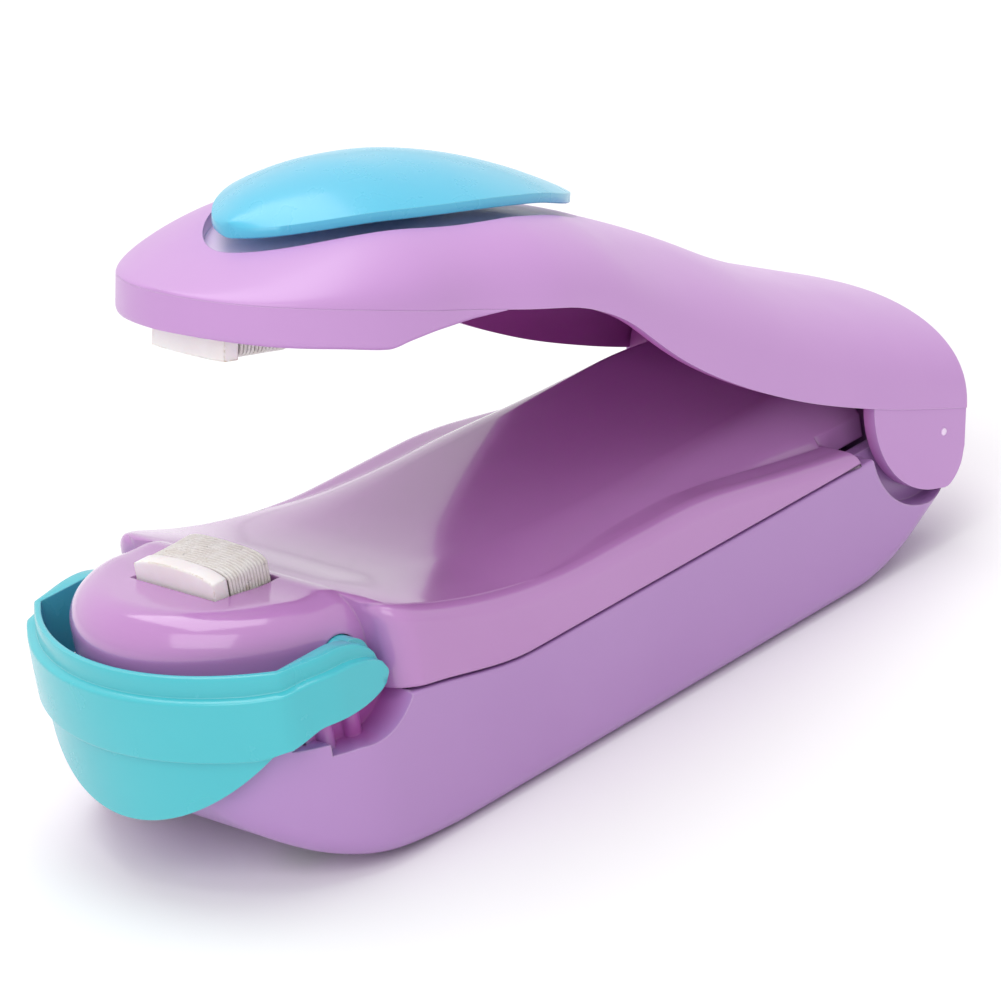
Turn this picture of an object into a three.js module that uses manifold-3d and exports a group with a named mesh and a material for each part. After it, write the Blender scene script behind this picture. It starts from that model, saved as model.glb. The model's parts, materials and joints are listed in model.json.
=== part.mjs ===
// Mini bag sealer: a hand-held heat sealer run by two AA cells. It has a hinged arm, a thumb pad and a
// lock bail.
// Millimetres. The hinge pin lies along Y through x = 0, z = 0. The nose points to -X and +Z is up.
// Arm pieces are drawn with the arm closed; their group then turns them to the open rest position.
import * as THREE from 'three';
import { mergeVertices } from 'three/addons/utils/BufferGeometryUtils.js';
import Module from 'manifold-3d';

const wasm = await Module();
wasm.setup();

// Heights and the tail, measured from the hinge pin.
const base_depth = 9.2;
const arm_rise = 26.8;
const tail_reach = 4.1;
const opening_angle = 14.1;

// Walls and clearances.
const wall = 1.2;
const joint_gap = 0.3;
const running_gap = 0.07;
const overrun = 6;
const bore_sides = 24;
const screw_sides = 12;

// Battery cells with the room round them, their contacts and the door under them.
const cell = {
  radius: 7.05,
  body: 49.5,
  nub_radius: 2.7,
  nub: 1.0,
  between: 0.5,
  side_room: 3.15,
  floor_room: 0.35,
  roof_room: 0.5,
};
const contact = {
  plate: 0.4,
  half_height: 5.0,
  half_width: 4.4,
  spring: 2.5,
  spring_radius: 3.0,
  wire: 0.25,
};
const door = { rear: 10.0, sill: 3.75, side: 2.6, grip: 0.5, grip_half: 7.0, grips: 3, grip_pitch: 2.4 };

// The base is as long, wide and high as its cells need, with a nose in front of them. The arm ends
// a little behind the base's nose.
const nose_room = 15.65;
const arm_setback = 4.6;
const cell_spacing = 2 * cell.radius + cell.between;
const cell_height = wall + cell.floor_room + cell.radius - base_depth;
const terminal_face = joint_gap / 2 - door.rear;
const bridge_face = terminal_face - (cell.body + cell.nub + contact.spring + 3 * joint_gap);
const base_reach = nose_room - bridge_face;
const arm_reach = base_reach - arm_setback;
const deck_rise = cell_height + cell.radius + cell.roof_room + wall;
const half_width = cell_spacing / 2 + cell.radius + cell.side_room;
const body_width = 2 * half_width;

// A setback is measured back from the nose tip of the base, or of the arm for arm pieces. An inset is
// measured in from the base's side.

// Seam between the two halves of the base: level along the side, raised under the nose.
const seam = { side: 2.1, nose: 4.4, rise_share: 0.82, start_share: 0.63 };

// Lower housing.
const hull = {
  bow_length: 13.2,
  corner: 2.0,
  corner_share: 0.8,
  rear_reach: 1.0,
  notch_radius: 5.7,
  notch_setback: 7.8,
  notch_low: 2.0,
  notch_wall: 0.9,
  pocket_setback: 16.1,
  recess_radius: 7.0,
  recess_centre_x: -1.0,
  recess_centre_z: 2.5,
  recess_clearance: 0.2,
  recess_wall: 1.3,
  knuckle_radius: 3.4,
  knuckle_inner: 8.0,
  knuckle_clearance: 0.2,
  apron_radius: 3.8,
  apron: 0.85,
  rib: 1.0,
  rib_inset: 5.0,
  rib_top: 1.2,
};

// Deck shell.
const deck = {
  shoulder_setback: 15.1,
  side_rear: 9.6,
  middle_rear: 5.0,
  middle_inset: 3.9,
  hump_inset: 5.8,
  edge_round: 0.7,
  nose_length: 14.2,
  nose_inset: 3.9,
  nose_top: 12.55,
  nose_slope: 0.13,
  nose_round: 2.2,
};

// Arm shell, nose cover and yoke.
const arm = {
  fullness: 2.35,
  fullness_middle: 0.4,
  fullness_nose: -0.7,
  nose_length: 17.8,
  nose_inset: 2.0,
  neck_setback: 28.8,
  tail_round: 0.5,
  cover_length: 24.8,
  cover_bevel: 0.6,
  cavity_length: 18.8,
};
const ear = { radius: 8.6, centre_x: 0.3, centre_z: 4.9, inset: 0.15, thick: 1.95, rear: 3.8, tip: 3.7 };
const yoke = {
  tongue: 1.5,
  tongue_front: 5.0,
  tongue_low: 4.2,
  web_front: 1.5,
  web_low: 6.0,
  web: 1.6,
};
const pin = { radius: 1.2, sink: 1.0 };

// Thumb pad and the recess it floats in.
const pad = {
  setback: 25.6,
  length: 18.3,
  half: 10.5,
  edge: 0.9,
  bevel: 0.5,
  fullness: 1.8,
  travel: 1.0,
  float: 1.4,
};
const recess = { forward: 0.7, length: 18.5, half: 11.5, fullness: 1.75 };
const stem = { forward: 0.8, radius: 2.0, pocket_radius: 4.0, pocket: 2.0, spring_radius: 3.0, wire: 0.3 };

// Heaters: a ceramic former with a front cheek and a resistance winding behind it.
const heater = {
  cheek: 1.6,
  half: 5.35,
  crown: 0.8,
  height: 3.9,
  core_half: 4.3,
  core_height: 2.2,
  loops: 4,
  pitch: 0.82,
  wire: 0.2,
  foot: 0.7,
};
const lower_head = { setback: 7.8, crown: 15.3 };
const upper_head = { setback: 4.4, crown: 14.75 };
const clip = { wall: 0.5, grip: 0.8, half_foot: 2.0 };

// Lock bail round the nose.
const bail = {
  pivot_setback: 12.4,
  pivot_height: 8.2,
  centre_setback: 19.7,
  radius: 20.5,
  arm_inset: 3.2,
  rear_setback: 14.3,
  lip: 1.1,
  band: 1.5,
  tab: 1.2,
  arm_extra: 1.0,
  top: 10.5,
  lip_share: 0.736,
  band_low: 3.3,
  arm_low: 4.7,
  arm_end: 6.7,
  end_height: 0.6,
  end_taper: 4.6,
  tab_low: -2.9,
  tab_round: 17.4,
  tab_step: 0.15,
  stud_radius: 1.8,
  stud: 2.7,
};

// Fasteners, the return spring, the switch and the lead wires.
const screw = { radius: 1.0, head_radius: 2.0, head: 1.2, sink: 0.4, post_radius: 2.9, boss_radius: 2.2 };
const screw_setback = { front: 9.4, cover: 14.3 };
const front_screw = { reach: base_reach - screw_setback.front, side: 8.8, top: 9.0 };
const cover_screw = { reach: arm_reach - screw_setback.cover, side: 10.0, top: 20.2 };
const yoke_screw = { reach: 0.4, side: 9.8, top: 9.6 };
const coil = { radius: 2.1, wire: 0.4, loops: 4, pitch: 1.25, base_leg: 6.0, arm_leg: 5.2 };
const block = { setback: 12.3, length: 3.6, half: 4.0, height: 3.4 };
const leaf = { thick: 0.3, half: 1.6, length: 14.0, low: 1.0, high: 2.3, slot: 2.6 };
const lead = { radius: 0.45, sides: 8, step: 8, least_steps: 6, most_steps: 60 };

// Places that several pieces share, along the base and the arm and across them.
const shoulder_reach = base_reach - deck.shoulder_setback;
const nose_centre = base_reach - deck.nose_length;
const notch_front = base_reach - hull.notch_setback;
const notch_rear = base_reach - hull.pocket_setback;
const pivot_reach = base_reach - bail.pivot_setback;
const bail_centre = base_reach - bail.centre_setback;
const bail_rear = base_reach - bail.rear_setback;
const lower_front = base_reach - lower_head.setback;
const door_front = -bridge_face - door.sill;
const door_half = half_width - door.side;
const arm_centre = arm_reach - arm.nose_length;
const arm_neck = arm_reach - arm.neck_setback;
const cover_rear = arm_reach - arm.cover_length;
const cavity_rear = arm_reach - arm.cavity_length;
const upper_front = arm_reach - upper_head.setback;
const block_front = arm_reach - block.setback;
const pad_middle = arm_reach - pad.setback;
const recess_middle = pad_middle + recess.forward;
const stem_reach = pad_middle + stem.forward;
const middle_half = half_width - deck.middle_inset;
const hump_half = half_width - deck.hump_inset;
const nose_half = half_width - deck.nose_inset;
const arm_nose_half = half_width - arm.nose_inset;
const bail_half = half_width - bail.arm_inset;
const notch_inner = bail_half - joint_gap;
const ear_outer = half_width - ear.inset;
const ear_inner = ear_outer - ear.thick;
const tongue_inner = ear_inner - yoke.tongue;
const recess_inner = ear_inner - hull.recess_clearance;
const knuckle_outer = recess_inner - hull.knuckle_clearance;
const rib_half = half_width - hull.rib_inset;
const pin_half = ear_inner + pin.sink;

// Outlines from the nose to the tail, as [share of the reach, share of the rise or depth].
const hull_bottom_shares = [
  [0.995, -0.109], [0.976, 0.283], [0.945, 0.565], [0.907, 0.761], [0.856, 0.902], [0.793, 0.978],
  [0.743, 1.0], [0.139, 1.0], [0.101, 0.951], [0.063, 0.837], [0.03, 0.69], [-0.013, 0.49],
];
const deck_edge_shares = [
  [0.812, 1.472], [0.787, 1.399], [0.737, 1.215], [0.671, 1.031], [0.605, 0.908], [0.534, 0.847],
  [0.388, 0.847], [0.338, 0.822], [0.29, 0.761], [0.215, 0.626], [0.121, 0.454],
];
const deck_centre_shares = [
  [0.819, 1.546], [0.781, 1.436], [0.73, 1.264], [0.68, 1.129], [0.63, 1.043], [0.567, 1.006],
  [0.479, 1.0], [0.139, 1.0], [0.11, 0.98], [0.063, 0.93],
];
const arm_crest_shares = [
  [1.0, 0.757], [0.988, 0.768], [0.963, 0.793], [0.926, 0.831], [0.882, 0.876], [0.829, 0.927],
  [0.775, 0.965], [0.722, 0.981], [0.668, 0.985], [0.561, 0.943], [0.468, 0.863], [0.401, 0.807],
  [0.348, 0.765], [0.294, 0.715],
  [0.214, 0.631], [0.12, 0.552], [0.04, 0.5], [-0.056, 0.44],
];
const fullness_shares = [0.2, 0.6, 0.75];
const dome_shares = [[-1, 1], [-0.93, 0.7], [-0.6, 0.2], [0, 0], [0.6, 0.2], [0.93, 0.7], [1, 1]];
const ear_tip_shares = [[0.5, 1.0], [0.87, 0.58], [1.0, 0.1]];
const arm_rim_shares = [
  [1.0, 0.746], [0.882, 0.733], [0.775, 0.707], [0.668, 0.683], [0.615, 0.675], [0.575, 0.653],
  [0.521, 0.597], [0.475, 0.515], [0.428, 0.437], [0.361, 0.353], [0.29, 0.284], [0.219, 0.229],
  [0.142, 0.185], [0.072, 0.153], [-0.056, 0.112],
];
const cover_low_shares = [
  [1.0, 0.634], [0.936, 0.625], [0.829, 0.603], [0.773, 0.618], [0.713, 0.636], [0.668, 0.656], [0.6, 0.656],
];
const pad_under_shares = [
  [0.91, 0.86], [0.856, 0.895], [0.775, 0.932], [0.668, 0.95], [0.561, 0.933], [0.481, 0.908], [0.404, 0.882],
];
const pad_top_shares = [
  [0.908, 0.915], [0.889, 0.955], [0.86, 0.995], [0.802, 1.045], [0.735, 1.075], [0.668, 1.078],
  [0.602, 1.058], [0.535, 1.018], [0.468, 0.965], [0.428, 0.934], [0.409, 0.918],
];

// Where the cross-sections stand, as shares of the reach; those of the deck run from the rear end of its
// ledges to the shoulder.
const hull_station_shares = [
  0.9955, 0.988, 0.976, 0.955, 0.925, 0.885, 0.84, 0.79, 0.74, 0.68, 0.63, 0.14, 0.1, 0.07, 0.04,
  0.015, -0.0126,
];
const deck_station_shares = [
  1, 0.99, 0.976, 0.935, 0.891, 0.841, 0.79, 0.739, 0.666, 0.594, 0.478, 0.376, 0.303, 0.231, 0.158, 0.086, 0,
];
const arm_station_shares = [
  0.9985, 0.992, 0.978, 0.955, 0.925, 0.885, 0.835, 0.78, 0.72, 0.66, 0.6, 0.55, 0.505, 0.46,
  0.41, 0.36, 0.3, 0.23, 0.15, 0.06,
];

// Finishes.
const lilac = { color: 0xb184c8, roughness: 0.28, metalness: 0 };
const lilac_light = { color: 0xbe92cf, roughness: 0.26, metalness: 0 };
const teal = { color: 0x3fc4bd, roughness: 0.3, metalness: 0 };
const sky_blue = { color: 0x58c3e2, roughness: 0.25, metalness: 0 };
const steel = { color: 0xb9bcc0, roughness: 0.3, metalness: 1 };
const nickel = { color: 0xc8c6bd, roughness: 0.35, metalness: 1 };
const ceramic = { color: 0xf1eee6, roughness: 0.6, metalness: 0 };
const fibre = { color: 0xd8d0bf, roughness: 0.9, metalness: 0 };
const phenolic = { color: 0x4a4038, roughness: 0.6, metalness: 0 };
const cell_jacket = { color: 0x6c737b, roughness: 0.4, metalness: 0.2 };
const red_sleeve = { color: 0xb5342c, roughness: 0.5, metalness: 0 };
const black_sleeve = { color: 0x26262a, roughness: 0.5, metalness: 0 };

const above_arm = arm_rise + 2 * overrun;
const { smoothstep, lerp, degToRad, clamp } = THREE.MathUtils;

// Geometry helpers.

function solid(geometry) {
  const bare = geometry.clone();
  bare.deleteAttribute('normal');
  bare.deleteAttribute('uv');
  const merged = mergeVertices(bare);
  const vertProperties = Float32Array.from(merged.attributes.position.array);
  const triVerts = Uint32Array.from(merged.index.array);
  return new wasm.Manifold(new wasm.Mesh({ numProp: 3, vertProperties, triVerts }));
}

function signed_volume(positions, index) {
  const point = (i) => new THREE.Vector3().fromArray(positions, index[i] * 3);
  let volume = 0;
  for (let i = 0; i < index.length; i += 3) {
    volume += point(i).dot(point(i + 1).cross(point(i + 2)));
  }
  return volume;
}

// Triangles that close one end ring; "forward" ones run round it in the ring's own order.
function cap_triangles(ring, first, forward) {
  const normal = new THREE.Vector3();
  ring.forEach((a, i) => {
    const b = ring[(i + 1) % ring.length];
    normal.x += (a[1] - b[1]) * (a[2] + b[2]);
    normal.y += (a[2] - b[2]) * (a[0] + b[0]);
    normal.z += (a[0] - b[0]) * (a[1] + b[1]);
  });
  const sizes = normal.toArray().map(Math.abs);
  const dropped = sizes.indexOf(Math.max(...sizes));
  const [u, v] = [0, 1, 2].filter((axis) => axis !== dropped);
  const flat = ring.map((p) => new THREE.Vector2(p[u], p[v]));
  const faces = THREE.ShapeUtils.triangulateShape(flat, []);
  const runs_forward = faces.some((face) =>
    face.some((a, i) => (a + 1) % ring.length === face[(i + 1) % 3]));
  const turned = runs_forward === forward ? faces : faces.map(([a, b, c]) => [a, c, b]);
  return turned.flat().map((i) => i + first);
}

// A closed skin over a row of rings with the same number of [x, y, z] points.
function loft(rings) {
  const count = rings[0].length;
  const positions = rings.flat(2);
  const index = [];
  for (let r = 0; r + 1 < rings.length; r += 1) {
    for (let i = 0; i < count; i += 1) {
      const a = r * count + i;
      const b = r * count + ((i + 1) % count);
      index.push(a, b, b + count, a, b + count, a + count);
    }
  }
  index.push(...cap_triangles(rings[0], 0, false));
  index.push(...cap_triangles(rings[rings.length - 1], (rings.length - 1) * count, true));
  if (signed_volume(positions, index) < 0) index.reverse();
  const geometry = new THREE.BufferGeometry();
  geometry.setAttribute('position', new THREE.BufferAttribute(Float32Array.from(positions), 3));
  geometry.setIndex(index);
  return solid(geometry);
}

function box(x0, x1, y0, y1, z0, z1) {
  const geometry = new THREE.BoxGeometry(x1 - x0, y1 - y0, z1 - z0);
  return solid(geometry.translate((x0 + x1) / 2, (y0 + y1) / 2, (z0 + z1) / 2));
}

// A round bar between two places on the named axis; a and b are its place on the other two axes.
function rod(axis, radius, from, to, a, b, sides = bore_sides) {
  const geometry = new THREE.CylinderGeometry(radius, radius, Math.abs(to - from), sides);
  const middle = (from + to) / 2;
  if (axis === 'x') geometry.rotateZ(Math.PI / 2).translate(middle, a, b);
  if (axis === 'y') geometry.translate(a, middle, b);
  if (axis === 'z') geometry.rotateX(Math.PI / 2).translate(a, b, middle);
  return solid(geometry);
}

// A bore whose flats clear a round bar of the given radius.
function bore(axis, radius, from, to, a, b, sides = bore_sides) {
  return rod(axis, radius / Math.cos(Math.PI / sides), from, to, a, b, sides);
}

// A bore along Z for one screw of a pair; side is -1 or 1.
function screw_bore(radius, from, to, place, side) {
  return bore('z', radius, from, to, -place.reach, side * place.side, screw_sides);
}

// An outline of [x, z] points made into a plate between two places along Y.
function plate_y(outline, y0, y1) {
  return loft([y0, y1].map((y) => outline.map(([x, z]) => [x, y, z])));
}

// A strip along X whose underside and top follow two functions of x.
function strip(stations, half, low, high) {
  return loft(stations.map((x) => [
    [x, -half, low(x)], [x, half, low(x)], [x, half, high(x)], [x, -half, high(x)],
  ]));
}

// A tube with closed ends round a row of Vector3 points, with its rings square to the run.
function tube(points, radius, sides, across) {
  const rings = points.map((point, i) => {
    const before = points[Math.max(i - 1, 0)];
    const after = points[Math.min(i + 1, points.length - 1)];
    const along = after.clone().sub(before).normalize();
    const u = across.clone().addScaledVector(along, -across.dot(along)).normalize();
    const v = along.clone().cross(u);
    return Array.from({ length: sides }, (_, k) => {
      const angle = (2 * Math.PI * k) / sides;
      return point.clone()
        .addScaledVector(u, radius * Math.cos(angle))
        .addScaledVector(v, radius * Math.sin(angle))
        .toArray();
    });
  });
  return loft(rings);
}

// Least distance between two loops of a wound tube, measured skin to skin on its points.
function least_gap(points, radius, steps_per_loop) {
  let least = Infinity;
  points.forEach((a, i) => {
    for (let j = i + Math.ceil(steps_per_loop / 2); j < points.length; j += 1) {
      least = Math.min(least, a.distanceTo(points[j]) - 2 * radius);
    }
  });
  return least;
}

// A smooth curve through rows of [reach share, rise share], read as a height at any x.
function profile(shares, reach, rise) {
  const xs = shares.map(([share]) => -share * reach);
  const zs = shares.map(([, share]) => share * rise);
  const secants = xs.slice(1).map((x, i) => (zs[i + 1] - zs[i]) / (x - xs[i]));
  const slopes = xs.map((_, i) => {
    if (i === 0) return secants[0];
    if (i === secants.length) return secants[i - 1];
    const [a, b] = [secants[i - 1], secants[i]];
    return a * b > 0 ? (2 * a * b) / (a + b) : 0;
  });
  return (x) => {
    let i = 0;
    while (i < secants.length - 1 && x > xs[i + 1]) i += 1;
    const span = xs[i + 1] - xs[i];
    const t = clamp((x - xs[i]) / span, 0, 1);
    const rise_part = (3 - 2 * t) * t * t;
    const slope_part = span * t * (1 - t) * ((1 - t) * slopes[i] - t * slopes[i + 1]);
    return lerp(zs[i], zs[i + 1], rise_part) + slope_part;
  };
}

const power = (value, exponent) => Math.sign(value) * Math.abs(value) ** exponent;

// Points of a rounded oval, with one exponent for its fullness.
function oval(centre, length, half, fullness, steps) {
  return Array.from({ length: steps }, (_, i) => {
    const angle = (2 * Math.PI * i) / steps;
    return [
      centre + length * power(Math.cos(angle), 2 / fullness),
      half * power(Math.sin(angle), 2 / fullness),
    ];
  });
}

function prism_z(outline, z0, z1) {
  return loft([z0, z1].map((z) => outline.map(([x, y]) => [x, y, z])));
}

const sides_of = (make) => make(-1).add(make(1));
const ordered = (a, b) => (a < b ? [a, b] : [b, a]);

function piece(name, body, finish) {
  const { vertProperties, triVerts } = body.getMesh();
  const geometry = new THREE.BufferGeometry();
  geometry.setAttribute('position', new THREE.BufferAttribute(vertProperties, 3));
  geometry.setIndex(new THREE.BufferAttribute(triVerts, 1));
  geometry.computeVertexNormals();
  const mesh = new THREE.Mesh(geometry, new THREE.MeshStandardMaterial(finish));
  mesh.name = name;
  return mesh;
}

// Shapes of the base.

const hull_bottom = profile(hull_bottom_shares, base_reach, -base_depth);
const deck_edge = profile(deck_edge_shares, base_reach, deck_rise);
const deck_centre = profile(deck_centre_shares, base_reach, deck_rise);

function seam_at(x) {
  const raised = smoothstep(-x, seam.start_share * base_reach, seam.rise_share * base_reach);
  return lerp(seam.side, seam.nose, raised);
}

const bow_centre = -(base_reach - hull.bow_length);

function hull_half(x) {
  const forward = clamp((bow_centre - x) / hull.bow_length, 0, 1);
  return half_width * Math.sqrt(1 - forward ** 2);
}

function hull_ring(x, inset, top) {
  const half = hull_half(x) - inset;
  const low = hull_bottom(x) + inset;
  const round = Math.min(hull.corner, half * hull.corner_share);
  const ring = [[x, half, top], [x, -half, top]];
  const corner_steps = 4;
  for (let i = 0; i <= corner_steps; i += 1) {
    const angle = (Math.PI / 2) * (i / corner_steps);
    ring.push([x, -half + round * (1 - Math.cos(angle)), low + round * (1 - Math.sin(angle))]);
  }
  for (let i = corner_steps; i >= 0; i -= 1) {
    const angle = (Math.PI / 2) * (i / corner_steps);
    ring.push([x, half - round * (1 - Math.cos(angle)), low + round * (1 - Math.sin(angle))]);
  }
  return ring;
}

function screw_body(reach, side, low, top) {
  const shank = rod('z', screw.radius, low + screw.head / 2, top, -reach, side, screw_sides);
  const head = rod('z', screw.head_radius, low, low + screw.head, -reach, side, screw_sides);
  const slot = box(-reach - screw.head_radius, -reach + screw.head_radius,
    side - screw.sink, side + screw.sink, low - overrun, low + screw.sink);
  return shank.add(head).subtract(slot);
}

const screw_seat = hull_bottom(-front_screw.reach) + wall + 2 * screw.sink;
const front_post_top = seam.nose - joint_gap;

function lower_housing() {
  const stations = hull_station_shares.map((share) => -share * base_reach);
  const outer = loft(stations.map((x) => hull_ring(x, 0, seam_at(x))));
  const inner_stations = stations.filter((x) => x > -(base_reach - wall) && hull_half(x) > 2 * wall);
  inner_stations.push(hull.rear_reach + overrun);
  const inner = loft(inner_stations.map((x) => hull_ring(x, wall, seam_at(x) + overrun)));
  const solid_sides = sides_of((side) => {
    const y = ordered(side * (recess_inner - hull.recess_wall), side * (half_width + overrun));
    return box(-recess_front, overrun, y[0], y[1], -base_depth, seam.side);
  });
  let body = outer.subtract(inner.subtract(solid_sides));

  const inside = loft(inner_stations.map((x) => hull_ring(x, wall / 2, Math.max(seam_at(x), clip_low))));
  const behind_plate = contact.plate + joint_gap;
  const front_rib = box(bridge_face - behind_plate - hull.rib, bridge_face - behind_plate,
    -half_width, half_width, -base_depth, hull.rib_top);
  const rear_rib = box(terminal_face + behind_plate, terminal_face + behind_plate + hull.rib,
    -rib_half, rib_half, -base_depth, hull.rib_top);
  const pockets = sides_of((side) => {
    const y = ordered(side * (notch_inner - hull.notch_wall), side * half_width);
    return box(-notch_front - hull.notch_wall, -notch_rear, y[0], y[1],
      seam.side - 2 * wall, seam.nose);
  });

  const posts = sides_of((side) =>
    rod('z', screw.post_radius, -base_depth, front_post_top,
      -front_screw.reach, side * front_screw.side, screw_sides));
  const clip_post = box(head_middle - clip.half_foot, head_middle + clip.half_foot,
    -clip.half_foot, clip.half_foot, -base_depth, clip_low - joint_gap);
  const fittings = front_rib.add(rear_rib).add(pockets).add(posts).add(clip_post);
  body = body.add(fittings.intersect(inside));

  const knuckles = sides_of((side) =>
    rod('y', hull.knuckle_radius, side * hull.knuckle_inner, side * knuckle_outer, 0, 0));
  const apron = rod('y', hull.apron_radius, -knuckle_outer, knuckle_outer, 0, 0)
    .subtract(rod('y', hull.apron_radius - hull.apron, -body_width, body_width, 0, 0))
    .intersect(box(-hull.rear_reach, overrun, -body_width, body_width, -overrun, hull.rear_reach));
  body = body.add(knuckles).add(apron);

  const recesses = sides_of((side) =>
    rod('y', hull.recess_radius, side * recess_inner, side * (half_width + overrun),
      hull.recess_centre_x, hull.recess_centre_z, 2 * bore_sides));
  const notches = sides_of((side) => {
    const y = ordered(side * notch_inner, side * (half_width + overrun));
    const sweep = rod('y', hull.notch_radius, y[0], y[1], notch_centre_x, notch_centre_z, 2 * bore_sides);
    const step = box(-notch_front, notch_centre_x, y[0], y[1], hull.notch_low, overrun);
    const ledge = box(-base_reach, notch_centre_x, y[0], y[1], bail.band_low - joint_gap, overrun);
    return sweep.add(step).add(ledge);
  });
  const opening = box(-door_front - joint_gap, -door.rear + joint_gap,
    -door_half - joint_gap, door_half + joint_gap,
    -base_depth - overrun, -base_depth + wall + joint_gap);
  const screw_holes = sides_of((side) =>
    screw_bore(screw.radius + running_gap, -base_depth - overrun, overrun, front_screw, side)
      .add(screw_bore(screw.head_radius + joint_gap, -base_depth - overrun, screw_seat, front_screw, side)));
  const pin_bore = bore('y', pin.radius + running_gap, -body_width, body_width, 0, 0);
  return body.subtract(recesses).subtract(notches).subtract(opening).subtract(screw_holes).subtract(pin_bore);
}

// Section of the deck: a raised middle that falls to a ledge along each side.
function deck_ring(x, inset, low) {
  const round = deck.edge_round;
  const shoulder = shoulder_reach + x;
  const corner = shoulder < round * 2 ? (1 - shoulder / (round * 2)) ** 2 * round : 0;
  const half = half_width - inset - corner;
  const edge = deck_edge(x) - inset;
  const centre = deck_centre(x) - inset;
  const right = [
    [half, low],
    [half, edge - round],
    [half - round * 0.3, edge - round * 0.3],
    [half - round, edge],
    [middle_half, lerp(edge, centre, 0.06)],
    [lerp(middle_half, hump_half, 0.35), lerp(edge, centre, 0.3)],
    [lerp(middle_half, hump_half, 0.65), lerp(edge, centre, 0.72)],
    [hump_half, lerp(edge, centre, 0.95)],
    [hump_half * 0.85, centre],
  ];
  const left = right.map(([y, z]) => [-y, z]).reverse();
  return [...right, ...left].map(([y, z]) => [x, y, z]);
}

function nose_body(inset) {
  const length = deck.nose_length - inset;
  const half = nose_half - inset;
  const rings = [];
  const steps = 4;
  const outline = (shrink) => {
    const front = oval(-nose_centre, length - shrink, half - shrink, 2, 40)
      .filter(([x]) => x <= -nose_centre + joint_gap);
    const rear = -shoulder_reach + 2 * wall;
    return [[rear, half - shrink], ...front, [rear, -half + shrink]];
  };
  const top = (x) => deck.nose_top - inset - deck.nose_slope * (x + base_reach - deck.nose_length);
  const round = Math.max(deck.nose_round - inset, wall / 2);
  const low = inset > 0 ? -overrun : seam.nose + joint_gap;
  rings.push(outline(0).map(([x, y]) => [x, y, low]));
  for (let i = 0; i <= steps; i += 1) {
    const angle = (Math.PI / 2) * (i / steps);
    const shrink = round * (1 - Math.cos(angle));
    rings.push(outline(shrink).map(([x, y]) => [x, y, top(x) - round * (1 - Math.sin(angle))]));
  }
  return loft(rings);
}

function deck_shell() {
  const stations = deck_station_shares.map((share) => -lerp(deck.side_rear, shoulder_reach, share));
  const low = (x) => seam_at(x) + joint_gap;
  const inner_stations = stations.filter((x) => x > -shoulder_reach + wall);
  inner_stations.unshift(-shoulder_reach + wall);
  inner_stations.push(overrun);
  stations.push(-deck.middle_rear);
  const behind_sides = (clearance) => sides_of((side) => {
    const y = ordered(side * (middle_half - clearance), side * body_width);
    return box(-deck.side_rear - clearance, 2 * overrun, y[0], y[1], -base_depth, arm_rise);
  });
  const outer = loft(stations.map((x) => deck_ring(x, 0, low(x))))
    .subtract(behind_sides(0)).add(nose_body(0));
  const inner = loft(inner_stations.map((x) => deck_ring(x, wall, -overrun)))
    .subtract(behind_sides(wall)).add(nose_body(wall));
  const bosses = sides_of((side) =>
    rod('z', screw.boss_radius, front_post_top + joint_gap, deck.nose_top,
      -front_screw.reach, side * front_screw.side));
  const boss_bores = sides_of((side) =>
    screw_bore(screw.radius + running_gap, -overrun, front_screw.top + joint_gap, front_screw, side));
  const window = box(-lower_front - joint_gap, -lower_front + heater_length + joint_gap,
    -heater.half - joint_gap, heater.half + joint_gap, 0, arm_rise);
  const stud_holes = bore('y', bail.stud_radius + running_gap, -body_width, body_width,
    -pivot_reach, bail.pivot_height);
  return outer.subtract(inner).add(bosses).subtract(boss_bores).subtract(window).subtract(stud_holes);
}

// Places that several base pieces share.
const recess_front = hull.recess_radius - hull.recess_centre_x + wall / 2;
const notch_centre_x = -(pivot_reach + wall);
const notch_centre_z = bail.pivot_height - wall / 2;
const heater_length = heater.cheek + heater.loops * heater.pitch + 4 * heater.wire;
const head_middle = -lower_front + heater_length / 2;
const clip_low = lower_head.crown - heater.height - heater.foot - joint_gap - clip.wall;

function battery_door() {
  const low = -base_depth;
  let body = box(-door_front, -door.rear, -door_half, door_half, low, low + wall);
  for (let i = 0; i < door.grips; i += 1) {
    const x = -door.rear - (i + 2) * door.grip_pitch;
    body = body.subtract(box(x, x + door.grip_pitch / 2, -door.grip_half, door.grip_half,
      low - overrun, low + door.grip));
  }
  return body;
}

// One cell lying along X; nub_end is -1 where its nub points to the nose and 1 to the tail.
function aa_cell(side, nub_end) {
  const half = cell.body / 2;
  const profile_points = [
    [0, -half], [cell.radius - wall / 2, -half], [cell.radius, -half + wall / 2],
    [cell.radius, half - wall / 2], [cell.radius - wall / 2, half],
    [cell.nub_radius, half], [cell.nub_radius, half + cell.nub], [0, half + cell.nub],
  ].map(([r, h]) => new THREE.Vector2(r, h));
  const geometry = new THREE.LatheGeometry(profile_points, bore_sides);
  geometry.rotateZ(nub_end > 0 ? -Math.PI / 2 : Math.PI / 2);
  const nub_face = nub_end > 0 ? terminal_face - joint_gap : bridge_face + joint_gap;
  const middle = nub_face - nub_end * (cell.nub + half);
  return solid(geometry.translate(middle, side * (cell_spacing / 2), cell_height));
}

function contact_plate(face, outward, y0, y1) {
  const x = ordered(face, face + outward * contact.plate);
  return box(x[0], x[1], y0, y1, cell_height - contact.half_height, cell_height + contact.half_height);
}

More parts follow.
